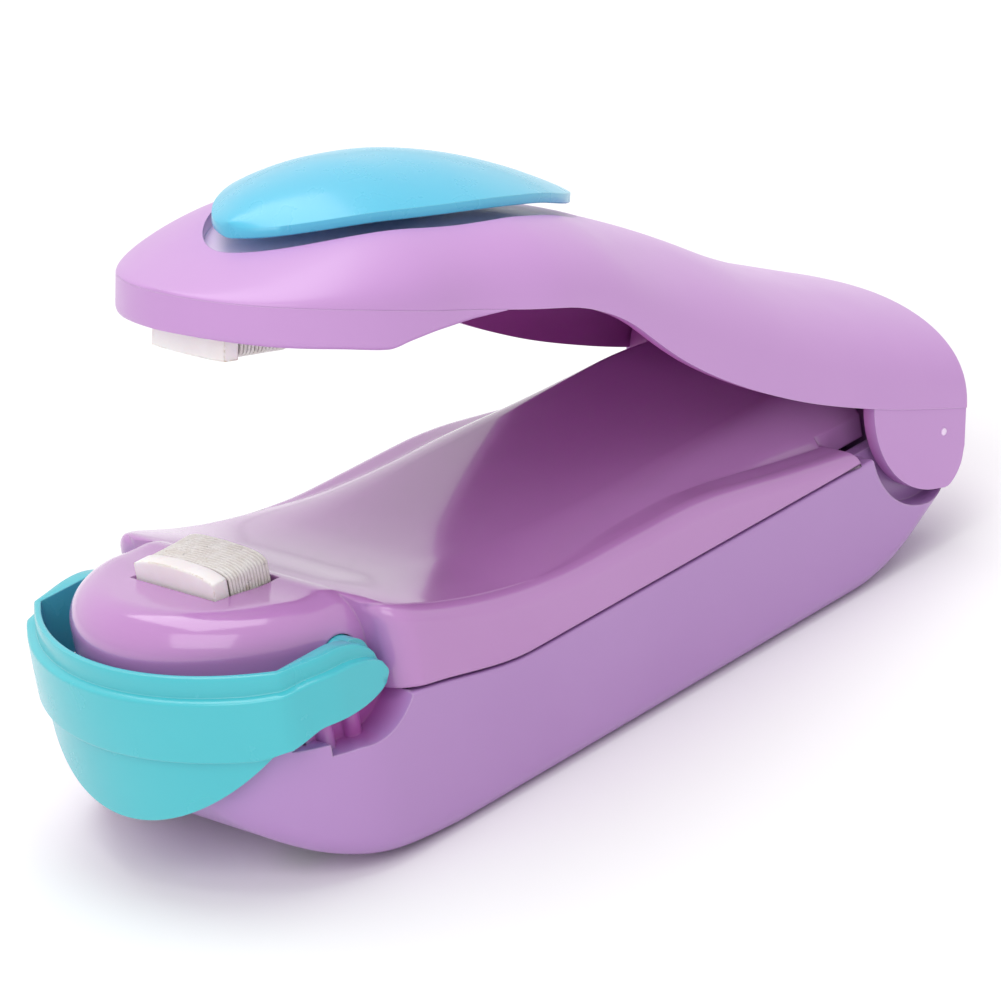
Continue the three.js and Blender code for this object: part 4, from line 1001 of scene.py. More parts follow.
class Workshop:
    """Turns solids into finished pieces of the part."""

    def __init__(self, frame: dict) -> None:
        """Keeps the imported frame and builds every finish.
        """
        self.frame = frame
        effects = Effects()
        self.materials = {finish: finish.value.make(effects) for finish in Finish}

    def piece(
        self, name: str, solid: Solid, finish: Finish, carrier: Carrier, node: str,
        crease: float = 32.0, weighted: bool = True,
    ) -> bpy.types.Object:
        """Places a solid as a finished piece that stands for a CAD node.

        Args:
            name: the piece's name.
            solid: the closed body, in drawing millimetres.
            finish: its finish.
            carrier: the body it rides on.
            node: the CAD node that it replaces.
            crease: edges sharper than this many degrees stay sharp.
            weighted: evens the shading of cut faces by their size.

        Returns:
            The new object.
        """
        mesh = solid.mesh
        mesh.name = name
        mesh.transform(place_matrix(carrier))
        mesh.materials.clear()
        mesh.materials.append(self.materials[finish])
        mesh.polygons.foreach_set("use_smooth", np.ones(len(mesh.polygons), bool))
        mesh.set_sharp_from_angle(angle=math.radians(crease))
        item = bpy.data.objects.new(name, mesh)
        bpy.context.scene.collection.objects.link(item)
        if weighted:
            modifier = item.modifiers.new("even_shading", "WEIGHTED_NORMAL")
            modifier.keep_sharp = True
        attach(item, carrier.value)
        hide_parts(node)
        LOG.info("%s: %d faces on %s, for %s", name, len(mesh.polygons), carrier.value, node)
        return item

    def dress(self, nodes: Iterable[str], finish: Finish) -> None:
        """Gives CAD nodes that stay as they are a finish.

        Args:
            nodes: the nodes' names.
            finish: their finish.
        """
        for node in nodes:
            item = self.frame["nodes"][node]
            for socket in item.material_slots:
                socket.material = self.materials[finish]
            LOG.info("%s: dressed in %s", node, finish.value.name)


# The base.


@dataclass(frozen=True)
class Base:
    """Lower housing and deck shell."""

    reach: float = 79.4
    depth: float = 9.2
    rise: float = 8.15
    bow: float = 13.2
    corner: float = 2.0
    rear_reach: float = 1.0
    seam_side: float = 2.1
    seam_nose: float = 4.4
    recess_radius: float = 7.0
    recess_inner: float = 15.2
    notch_front: float = 71.6
    notch_radius: float = 5.7
    notch_inner: float = 14.0
    pivot_reach: float = 67.0
    pivot_height: float = 8.2
    shoulder: float = 64.3
    side_rear: float = 9.6
    front_round: float = 2.8
    front_drop: float = 1.0
    middle_rear: float = 5.0
    middle_half: float = 13.6
    hump_inner: float = 9.6
    hump_outer: float = 14.1
    nose_centre: float = 65.2
    nose_length: float = 14.2
    nose_half: float = 13.6
    nose_top: float = 12.55
    nose_slope: float = 0.13
    nose_round: float = 3.6
    blend_front: float = 69.5
    blend_rise: float = 0.05
    dive_rear: float = 62.4
    dive: float = 0.4
    deck_round: float = 1.5
    side_round: float = 1.3
    screw_reach: float = 70.0
    screw_across: float = 8.8
    recess_place: tuple[float, float] = (-1.0, 2.5)
    rib_reaches: tuple[float, float] = (70.6, 67.7)
    rib: float = 0.8
    rib_top: float = 4.2
    door_front: float = 60.3
    door_rear: float = 9.7
    door_half: float = 15.2
    bottom_shares: Shares = (
        (0.995, -0.109), (0.976, 0.283), (0.945, 0.565), (0.907, 0.761), (0.856, 0.902), (0.793, 0.978),
        (0.743, 1.0), (0.139, 1.0), (0.101, 0.951), (0.063, 0.837), (0.03, 0.69), (-0.013, 0.49),
    )
    edge_shares: Shares = (
        (0.812, 1.472), (0.787, 1.399), (0.737, 1.215), (0.671, 1.031), (0.605, 0.908), (0.534, 0.847),
        (0.388, 0.84), (0.338, 0.803), (0.29, 0.725), (0.215, 0.59), (0.121, 0.44),
    )
    centre_shares: Shares = (
        (0.819, 1.546), (0.781, 1.436), (0.73, 1.264), (0.68, 1.129), (0.63, 1.043), (0.567, 1.006),
        (0.479, 1.0), (0.139, 1.0), (0.11, 0.98), (0.063, 0.93),
    )

    def bottom(self, x: Array | float) -> Array:
        """Gives the height of the underside."""
        return Outline(self.bottom_shares, self.reach, -self.depth)(x)

    def edge(self, x: Array | float) -> Array:
        """Gives the height of the deck's side ledges."""
        return Outline(self.edge_shares, self.reach, self.rise, 1.6)(x)

    def centre(self, x: Array | float) -> Array:
        """Gives the height of the deck's middle."""
        return Outline(self.centre_shares, self.reach, self.rise, 1.6)(x)

    def seam(self, x: Array | float) -> Array:
        """Gives the height of the seam: level along the side, raised under the nose."""
        rise = smoothstep(-np.asarray(x, float), 0.63 * self.reach, 0.82 * self.reach)
        return lerp(self.seam_side, self.seam_nose, rise)

    def half(self, x: Array) -> Array:
        """Gives the half width: full along the side, then an ellipse round the bow."""
        forward = np.clip((-(self.reach - self.bow) - x) / self.bow, 0.0, 1.0)
        return HALF_WIDTH * np.sqrt(1 - forward**2)

    def hull_rings(self, x: Array, inset: float, top: Array, lip: float = 0.0) -> Array:
        """Draws the housing's sections: a flat top, two sides and round lower corners.

        Args:
            x: stations.
            inset: how far the section lies inside the skin.
            top: the height of the flat top at each station.
            lip: radius of the round along the upper edges.

        Returns:
            Rings of shape (n, m, 3).
        """
        half, low = self.half(x) - inset, self.bottom(x) + inset
        radius = np.minimum(self.corner, half * 0.8)
        upper = corner_arc(lip, 5) if lip else np.zeros((1, 2))
        right_top = np.stack([half[:, None] - upper[::-1, 0], top[:, None] - upper[::-1, 1]], axis=-1)
        right = np.concatenate([right_top, lower_corner(half, low, radius, 12)], axis=1)
        return with_x(x, np.concatenate([right, mirrored(right)], axis=1))

    def at_screw(self, radius: float, run: Sequence[float], side: int, sides: int = 64) -> Solid:
        """Makes an upright bar at one side's front screw."""
        return Solid.rod("z", radius, run, -self.screw_reach, side * self.screw_across, sides)

    @property
    def notch_place(self) -> tuple[float, float]:
        """Gives the x and z of the middle of the round notches for the bail."""
        return -(self.pivot_reach + WALL), self.pivot_height - WALL / 2

    def hull(self, x: Array, inner_x: Array) -> Solid:
        """Hollows the hull and leaves a wall round the recess on each side of the hinge.

        Args:
            x: stations of the skin.
            inner_x: stations of the hollow.

        Returns:
            The tray.
        """
        outer = Solid.from_rings(self.hull_rings(x, 0.0, self.seam(x), 0.28))
        inner = Solid.from_rings(self.hull_rings(inner_x, WALL, self.seam(inner_x) + OVERRUN))
        recess_front = self.recess_radius - self.recess_place[0] + WALL / 2
        for side in (-1, 1):
            y = (side * (self.recess_inner - 1.3), side * (HALF_WIDTH + OVERRUN))
            inner = inner.cut(Solid.box((-recess_front, OVERRUN), y, (-self.depth, self.seam_side)))
        return outer.cut(inner)

    def fittings(self, inner_x: Array, bay: BatteryBay, head: Head) -> list[Solid]:
        """Makes the ribs and posts that stand inside the hull, kept inside its skin.

        Args:
            inner_x: stations of the hollow.
            bay: gives the places of the contact plates.
            head: gives the height of the heater's clip.

        Returns:
            The fittings.
        """
        rim = np.maximum(self.seam(inner_x), head.clip_low)
        inside = Solid.from_rings(self.hull_rings(inner_x, WALL / 2, rim))
        front = bay.bridge_face - bay.plate - JOINT_GAP
        rear = bay.terminal_face + bay.plate + JOINT_GAP
        thick, plate_top, post = 1.0, 1.2, 2.0
        fittings = [
            Solid.box((front - thick, front), (-HALF_WIDTH, HALF_WIDTH), (-self.depth, plate_top)),
            Solid.box((rear, rear + thick), (-12.5, 12.5), (-self.depth, plate_top)),
            Solid.box((head.middle - post, head.middle + post), (-post, post),
                      (-self.depth, head.clip_low - JOINT_GAP)),
        ]
        for side in (-1, 1):
            y = (side * (self.notch_inner - 0.9), side * HALF_WIDTH)
            z = (self.seam_side - 2 * WALL, self.seam_nose)
            fittings.append(Solid.box((-self.notch_front - 0.9, -63.3), y, z))
            fittings.append(self.at_screw(2.9, (-self.depth, self.seam_nose - JOINT_GAP), side))
        return [fitting.limit(inside) for fitting in fittings]

    def hinge_parts(self) -> list[Solid]:
        """Makes the two knuckles round the pin and the apron that closes the rear below it.

        Returns:
            The three bodies.
        """
        knuckles = both_sides(lambda side: Solid.rod("y", 3.4, (side * 8.0, side * 15.0), 0.0, 0.0))
        hollow = Solid.rod("y", 2.95, (-BEYOND, BEYOND), 0.0, 0.0)
        apron = Solid.rod("y", 3.8, (-15.0, 15.0), 0.0, 0.0).cut(hollow)
        quarter = Solid.box((-self.rear_reach, OVERRUN), (-BEYOND, BEYOND), (-OVERRUN, self.rear_reach))
        return [*knuckles, apron.limit(quarter)]

    def cut_side(self, body: Solid, side: int) -> Solid:
        """Cuts one side's recess, bail notch and screw holes, and adds the two ribs in the notch.

        Args:
            body: the housing so far.
            side: -1 for the near side, 1 for the far side.

        Returns:
            The housing with that side done.
        """
        outward = (side * self.recess_inner, side * (HALF_WIDTH + OVERRUN))
        body = body.cut(Solid.rod("y", self.recess_radius, outward, *self.recess_place, 128))
        y = (side * self.notch_inner, side * (HALF_WIDTH + OVERRUN))
        notch_x, notch_z = self.notch_place
        notch = Solid.rod("y", self.notch_radius, y, notch_x, notch_z, 128).join(
            Solid.box((-self.notch_front, notch_x), y, (2.0, OVERRUN + 1.0)),
            Solid.box((-self.reach, notch_x), y, (3.0, OVERRUN + 1.0)),
        )
        body = body.cut(notch)
        rib_y, rib_z = side * (self.notch_inner + 0.1), (self.seam_side - 2 * self.rib, self.rib_top)
        for reach in self.rib_reaches:
            body = body.join(Solid.rod("z", self.rib, rib_z, -reach, rib_y, 32))
        head_seat = float(self.bottom(-self.screw_reach)) + WALL + 0.8
        return body.cut(
            self.at_screw(SCREW_BORE, (-self.depth - OVERRUN, OVERRUN), side, 32),
            self.at_screw(SCREW_HEAD, (-self.depth - OVERRUN, head_seat), side),
        )

    def housing(self, bay: BatteryBay, head: Head) -> Solid:
        """Hollows the hull and adds the ribs, posts, knuckles, notches and bores that the CAD solid has.

        Args:
            bay: gives the places of the contact plates.
            head: gives the height of the heater's clip.

        Returns:
            The finished body.
        """
        bow_front = -self.reach * 0.9985
        x = np.unique(np.concatenate([
            stations(bow_front, -60.0, 44, 0.85), stations(-60.0, -12.0, 24),
            stations(-12.0, self.rear_reach, 22),
        ]))
        hollow = x[(x > -(self.reach - WALL)) & (self.half(x) > 2 * WALL)]
        inner_x = np.append(hollow, self.rear_reach + OVERRUN)
        body = self.hull(x, inner_x).join(*self.fittings(inner_x, bay, head), *self.hinge_parts())
        for side in (-1, 1):
            body = self.cut_side(body, side)
        opening = Solid.box((-self.door_front, -self.door_rear), (-self.door_half, self.door_half),
                            (-self.depth - OVERRUN, -self.depth + WALL + JOINT_GAP))
        body = body.cut(opening, Solid.rod("y", PIN_BORE, (-BEYOND, BEYOND), 0.0, 0.0))
        # Painted shade: the inside of each bail notch is marked hollow, which darkens its colour.
        x, y, z = body.points().T
        notch_x, notch_z = self.notch_place
        reach = np.hypot(x - notch_x, z - notch_z)
        near = smoothstep(-reach, -self.notch_radius - 0.6, -self.notch_radius)
        body.write("hollow", near * smoothstep(self.half(x) - np.abs(y), 0.6, 1.4))
        return body

    def swell_span(self, x: Array) -> tuple[Array, Array]:
        """Gives where the deck's wall starts and ends across; its foot moves to the side edge up front."""
        forward = smoothstep(-x, 34.0, 54.0)
        return lerp(self.hump_outer, 16.6, forward), lerp(self.hump_inner, 7.5, forward)

    def swell(self, x: Array, y: Array) -> Array:
        """Gives the deck's rise from ledge to middle, one minus the square of what is left of the wall."""
        foot_y, crest_y = self.swell_span(x)
        return 1 - (1 - np.clip((foot_y - np.abs(y)) / (foot_y - crest_y), 0.0, 1.0)) ** 2

    def deck_rings(self, x: Array, inset: float, low: Array) -> Array:
        """Draws the deck's sections: level ledges with a round outer edge and a wall that swells to the middle.

        The ends of the ledges draw in and down along a quarter ellipse where they meet the nose.

        Args:
            x: stations.
            inset: how far the section lies inside the skin.
            low: the height of the flat underside at each station.

        Returns:
            Rings of shape (n, m, 3).
        """
        past = np.clip(1 - (self.shoulder + x) / self.front_round, 0.0, 1.0)
        half = HALF_WIDTH - inset - self.front_round * (1 - np.sqrt(1 - past**2))
        over = np.clip(1 - (self.shoulder + x) / self.front_drop, 0.0, 1.0)
        edge = self.edge(x) - inset - self.front_drop * (1 - np.sqrt(1 - over**2))
        centre = self.centre(x) - inset
        arc = corner_arc(self.deck_round, 7)
        foot_y, crest_y = self.swell_span(x)
        foot_y = np.minimum(foot_y, half - 1.05 * self.deck_round)
        spans = [
            (half - 1.02 * self.deck_round, foot_y, 3), (foot_y, crest_y, 26),
            (crest_y, np.zeros_like(crest_y), 8),
        ]
        top_y = np.concatenate([
            np.linspace(start, stop, count, endpoint=False, axis=-1) for start, stop, count in spans
        ], axis=1)
        rounded = np.stack([half[:, None] - arc[:, 0], edge[:, None] - arc[:, 1]], axis=-1)
        top_z = edge[:, None] + (centre - edge)[:, None] * self.swell(x[:, None], top_y)
        top = np.stack([top_y, top_z], axis=-1)
        foot = np.stack([half, low], axis=-1)[:, None]
        right = np.concatenate([foot, rounded, top], axis=1)
        middle = np.stack([np.zeros_like(centre), centre], axis=-1)[:, None]
        return with_x(x, np.concatenate([right, middle, mirrored(right)], axis=1))

    def nose_height(self, x: Array, y: Array, inset: float) -> Array:
        """Gives the nose's top: a plane that runs smoothly into the deck's skin and then dives under it.

        Args:
            x: places along X.
            y: places across.
            inset: how far it lies inside the skin.

        Returns:
            The heights.
        """
        plane = self.nose_top - self.nose_slope * (x + self.reach - self.nose_length)
        skin = self.edge(x) + (self.centre(x) - self.edge(x)) * self.swell(x, y)
        blended = lerp(plane, skin + self.blend_rise, smoothstep(x, -self.blend_front, -self.shoulder))
        return blended - self.dive * smoothstep(x, -self.shoulder, -self.dive_rear) - inset

    def nose(self, inset: float) -> Solid:
        """Makes the nose: an elliptical prism with a round upper edge, topped by rings that shrink inwards.

        Args:
            inset: how far the body lies inside the skin.

        Returns:
            The nose, down to below the seam.
        """
        length, half = self.nose_length - inset, self.nose_half - inset
        radius = max(self.nose_round - inset, WALL / 2)
        turn = np.linspace(0.0, np.pi / 2, 18)
        inwards = np.linspace(radius, half - 0.5, 14)[1:]
        shrink = np.concatenate([[0.0], radius * (1 - np.cos(turn)), inwards])
        drop = np.concatenate([[0.0], radius * (1 - np.sin(turn)), 0 * inwards])
        angle = np.linspace(np.pi / 2, 1.5 * np.pi, 96)
        rear = np.linspace(-self.shoulder + 2 * WALL, -self.nose_centre, 10)[:-1]
        side = np.ones((len(shrink), 1)) * rear
        bow = -self.nose_centre + (length - shrink)[:, None] * np.cos(angle)
        x = np.concatenate([side, bow, side[:, ::-1]], axis=1)
        level = (half - shrink)[:, None]
        y = np.concatenate([level + 0 * side, level * np.sin(angle), 0 * side - level], axis=1)
        z = self.nose_height(x, y, inset) - drop[:, None]
        z[0] = -OVERRUN if inset > 0 else self.seam_nose + JOINT_GAP
        return Solid.from_rings(np.stack([x, y, z], axis=-1))

    def behind_sides(self, clearance: float, side: int) -> Solid:
        """Makes the block that ends a side ledge, with a round upper corner where it cuts the skin.

        Args:
            clearance: how much the block is widened, for the hollow.
            side: -1 or 1.

        Returns:
            The block.
        """
        y = (side * (self.middle_half - clearance), side * 2 * HALF_WIDTH)
        block = Solid.box((-self.side_rear - clearance, 2 * OVERRUN), y, (-self.depth, BEYOND))
        if clearance:
            return block
        radius = self.side_round
        top = float(self.edge(-self.side_rear - radius))
        corner = Solid.box((-self.side_rear - radius, 0.0), y, (top - radius, top + OVERRUN))
        keep = Solid.rod("y", radius, (side * 10.0, side * 40.0), -self.side_rear - radius, top - radius, 96)
        return block.join(corner.cut(keep))

    def deck(self, head: Head) -> Solid:
        """Hollows the deck and cuts the heater's window, the screw bores and the bail's stud holes.

        Args:
            head: gives the heater's window.

        Returns:
            The finished body.
        """
        front = -self.shoulder + 0.03
        x = np.concatenate([
            stations(front, -62.0, 12, 0.6)[:-1], stations(-62.0, -14.0, 60)[:-1],
            stations(-14.0, -self.middle_rear, 16),
        ])
        inner_x = np.concatenate([[front + WALL], x[x > front + WALL + 0.2], [OVERRUN]])
        outer = Solid.from_rings(self.deck_rings(x, 0.0, self.seam(x) + JOINT_GAP))
        outer = outer.cut(*both_sides(lambda side: self.behind_sides(0.0, side))).join(self.nose(0.0))
        inner = Solid.from_rings(self.deck_rings(inner_x, WALL, np.full(len(inner_x), -OVERRUN)))
        inner = inner.cut(*both_sides(lambda side: self.behind_sides(WALL, side))).join(self.nose(WALL))
        bosses = both_sides(lambda side: self.at_screw(SCREW_BOSS, (self.seam_nose, 11.0), side))
        bores = both_sides(lambda side: self.at_screw(SCREW_BORE, (-OVERRUN, 9.3), side, 32))
        studs = Solid.rod("y", 1.88, (-2 * HALF_WIDTH, 2 * HALF_WIDTH), -self.pivot_reach, self.pivot_height)
        return outer.cut(inner).join(*bosses).cut(*bores, head.window(), studs)

    def build(self, shop: Workshop, bay: BatteryBay, head: Head) -> None:
        """Builds the housing and the deck, and dresses the door and the pin.

        Args:
            shop: places and dresses the pieces.
            bay: gives the places of the contact plates.
            head: the lower heater.
        """
        shop.piece("housing_skin", self.housing(bay, head), Finish.SHELL_LILAC, Carrier.BASE,
                   "lower_housing")
        shop.piece("deck_skin", self.deck(head), Finish.DECK_LILAC_SHADED, Carrier.BASE, "deck_shell")
        shop.dress(["battery_door"], Finish.SHELL_LILAC)
        shop.dress(["hinge_pin", "lower_head_clip", "upper_head_clip"], Finish.STEEL)
        shop.dress([f"screw_{place}_{side}" for place in ("front", "arm", "yoke") for side in ("near", "far")],
                   Finish.STEEL)


@dataclass(frozen=True)
class BatteryBay:
    """Two cells side by side, their contact plates and springs."""

    radius: float = 7.05
    body: float = 49.5
    nub_radius: float = 2.7
    nub: float = 1.0
    spacing: float = 14.6
    height: float = -0.6
    plate: float = 0.4
    spring: float = 2.5
    spring_radius: float = 3.0
    wire: float = 0.25
    terminal_face: float = -9.85

    @property
    def bridge_face(self) -> float:
        """Gives the place of the front contact plate's face."""
        return self.terminal_face - (self.body + self.nub + self.spring + 3 * JOINT_GAP)

    def cell(self, side: int, nub_end: int) -> Solid:
        """Turns one cell: a jacket with rolled ends, a bare rim, and a nub with a rounded edge.

        Args:
            side: -1 for the near cell, 1 for the far one.
            nub_end: 1 if the nub looks to the rear, -1 if it looks forward.

        Returns:
            The cell.
        """
        face = self.terminal_face - JOINT_GAP if nub_end > 0 else self.bridge_face + JOINT_GAP
        middle = face - nub_end * (self.nub + self.body / 2)
        half, radius = self.body / 2, self.radius
        profile = np.array([
            (-half, 0.01), (-half, 5.2), (-half + 0.12, 5.4), (-half + 0.12, radius - 0.55),
            (-half, radius - 0.4), (-half + 0.1, radius - 0.1), (-half + 0.4, radius),
            (half - 0.5, radius), (half - 0.15, radius - 0.12), (half, radius - 0.45),
            (half - 0.25, radius - 0.9), (half - 0.3, self.nub_radius + 0.2), (half, self.nub_radius),
            (half + self.nub - 0.2, self.nub_radius), (half + self.nub, self.nub_radius - 0.25),
            (half + self.nub, 0.01),
        ])
        profile[:, 0] = middle + nub_end * profile[:, 0]
        return Solid.turned(profile, "x", side * self.spacing / 2, self.height, 72)

    def contact_spring(self, face: float, inward: int, side: int) -> Solid:
        """Winds a contact spring whose radius is 8 percent less at the cell's end.

        Args:
            face: the plate's face.
            inward: 1 if the cell lies to the rear of it, else -1.
            side: -1 for the near cell, 1 for the far one.

        Returns:
            The spring.
        """
        pitch = 2 * self.wire + 1.5 * JOINT_GAP
        loops = (self.spring - 2 * self.wire) / pitch
        turn = coil_angles(loops, 40)
        radius = self.spring_radius * lerp(1.0, 0.92, np.linspace(0, 1, len(turn)))
        path = np.stack([
            face + inward * (JOINT_GAP + self.wire + pitch * turn / (2 * np.pi)),
            side * self.spacing / 2 + inward * -radius * np.sin(turn),
            self.height + radius * np.cos(turn),
        ], axis=-1)
        return Solid.tube(path, self.wire, (1, 0, 0))

    def build(self, shop: Workshop) -> None:
        """Builds the cells and springs, and dresses the plates.

        Args:
            shop: places and dresses the pieces.
        """
        for label, side, nub_end in (("near", -1, 1), ("far", 1, -1)):
            shop.piece(f"cell_{label}", self.cell(side, nub_end), Finish.JACKET, Carrier.BASE,
                       f"aa_cell_{label}", 28.0)
        shop.piece("bridge_coil", self.contact_spring(self.bridge_face, 1, -1), Finish.NICKEL, Carrier.BASE,
                   "bridge_spring", 60.0, False)
        shop.piece("terminal_coil", self.contact_spring(self.terminal_face, -1, 1), Finish.NICKEL, Carrier.BASE,
                   "terminal_spring", 60.0, False)
        shop.dress(["bridge_plate", "terminal_plate_positive", "terminal_plate_negative"], Finish.NICKEL)


@dataclass(frozen=True)
class Head:
    """A heater: a ceramic former with a domed front cheek and a sleeved winding behind it."""

    label: str
    front: float
    crown: float
    up: int
    carrier: Carrier
    cheek: float = 1.6
    half: float = 4.85
    dome: float = 0.7
    height: float = 3.9
    core_half: float = 3.8
    core_height: float = 2.2
    foot: float = 0.7
    turns: float = 13.0
    wire: float = 0.15
    length: float = 6.4
    winding_extra: float = 0.0
    winding_rise: float = 0.46
    winding_bulge: float = 0.06
    core_drop: float = 0.7

    @property
    def middle(self) -> float:
        """Gives the middle of the former along X."""
        return -self.front + self.length / 2

    @property
    def core_depth(self) -> float:
        """Gives how far the middle of the core lies from the crown."""
        return self.core_height / 2 + self.core_drop

    @property
    def clip_low(self) -> float:
        """Gives the underside of the clip that holds the former."""
        return self.crown - self.height - self.foot - JOINT_GAP - 0.5

    def window(self) -> Solid:
        """Makes the block that cuts the window round the head, with a gap on all sides."""
        x = (-self.front - JOINT_GAP, -self.front + self.length + JOINT_GAP)
        return Solid.box(x, (-self.half - JOINT_GAP, self.half + JOINT_GAP), (0.0, BEYOND))

    def level(self, depth: Array | float) -> Array:
        """Gives the height that lies a depth away from the crown."""
        return self.crown - self.up * np.asarray(depth, float)

    def drop(self, y: Array) -> Array:
        """Gives the dome's drop: 0.55 of the square and 0.45 of the sixth power of the place across."""
        share = np.clip(np.abs(y) / self.half, 0.0, 1.0)
        return self.dome * (0.55 * share**2 + 0.45 * share**6)

    def former(self) -> Solid:
        """Joins the cheek, the core, the foot and the stalk.

        Returns:
            The former.
        """
        y = self.half * np.sin(np.linspace(-np.pi / 2, np.pi / 2, 40))
        depth = self.drop(y)
        section_y = np.concatenate([y, [self.half, -self.half]])
        section_d = np.concatenate([depth, [self.height, self.height]])
        inset = np.array([0.18, 0.05, 0.0, 0.0, 0.05, 0.18])
        x = -self.front + np.array([0.0, 0.06, 0.2, self.cheek - 0.2, self.cheek - 0.06, self.cheek])
        ys = section_y * (1 - inset[:, None] / self.half)
        zs = self.level(lerp(section_d, self.height / 2, inset[:, None] / self.height * 2))
        cheek = Solid.from_rings(with_x(x, np.stack([ys, zs], axis=-1)))
        core_level = float(self.level(self.core_depth))
        outline = oval(0.0, self.core_half, self.core_height / 2, 4, 48) + np.array([0.0, core_level])
        rear = -self.front + self.length
        core = Solid.prism(outline, "x", (-self.front + self.cheek / 2, rear))
        foot_z = (float(self.level(self.height)), float(self.level(self.height + self.foot)))
        foot = Solid.box((-self.front, rear), (-self.half, self.half), foot_z)
        stalk_z = (core_level, float(self.level(self.height + 0.35)))
        stalk = Solid.box((rear - 0.4, rear), (-2.15, 2.15), stalk_z)
        return cheek.join(core, foot, stalk)

    def winding(self) -> Solid:
        """Winds the sleeved wire round the core, with its crown side following the cheek's dome.

        The path is a squared oval, cosine and sine to the power one quarter, that moves back by one pitch a
        turn. Its crown side bulges a little towards the rear, more on the far side.

        Returns:
            The winding, with its unrolled coordinates.
        """
        square, clearance, sides = 0.25, 0.03, 10
        turn = coil_angles(self.turns, 72)
        room = self.length - self.cheek - 2 * self.wire - 0.2
        travel = room * np.arange(len(turn)) / (len(turn) - 1)
        half = self.half - self.wire - clearance
        rise = self.core_height / 2 + self.winding_rise
        y = half * power(np.cos(turn), square)
        lift = power(np.sin(turn), square)
        crown_side = np.clip(lift, 0.0, 1.0)
        rear_share = smoothstep(travel, room * 0.55, room * 0.8)
        bulge = self.winding_bulge * rear_share * crown_side * (0.6 + 0.4 * np.tanh(y))
        rise += self.winding_extra * (lift > 0)
        depth = self.core_depth - rise * lift + crown_side * self.drop(y) * 0.75 - bulge
        path = np.stack([
            -self.front + self.cheek + clearance + self.wire + travel, y, self.crown - self.up * depth,
        ], axis=-1)
        solid = Solid.tube(path, self.wire, (1, 0, 0), sides)
        self._lay_uv(solid.mesh, sides)
        return solid

    @staticmethod
    def _lay_uv(mesh: bpy.types.Mesh, sides: int) -> None:
        """Unrolls a tube: u grows by 0.55 from ring to ring, and v by 0.6 from point to point round it.

        Args:
            mesh: the tube's mesh, ring after ring.
            sides: points round the tube.
        """
        layer = mesh.uv_layers.new(name="run")
        loops = np.empty(len(mesh.loops), np.int32)
        mesh.loops.foreach_get("vertex_index", loops)
        uv = np.stack([(loops // sides) * 0.55, (loops % sides) * 0.6], axis=-1)
        layer.data.foreach_set("uv", uv.astype(np.float32).ravel())

    def build(self, shop: Workshop) -> None:
        """Builds the former and its winding.

        Args:
            shop: places and dresses the pieces.
        """
        shop.piece(f"{self.label}_ceramic", self.former(), Finish.CERAMIC, self.carrier,
                   f"{self.label}_former")
        shop.piece(f"{self.label}_wire", self.winding(), Finish.FIBRE, self.carrier,
                   f"{self.label}_winding", 80.0, False)


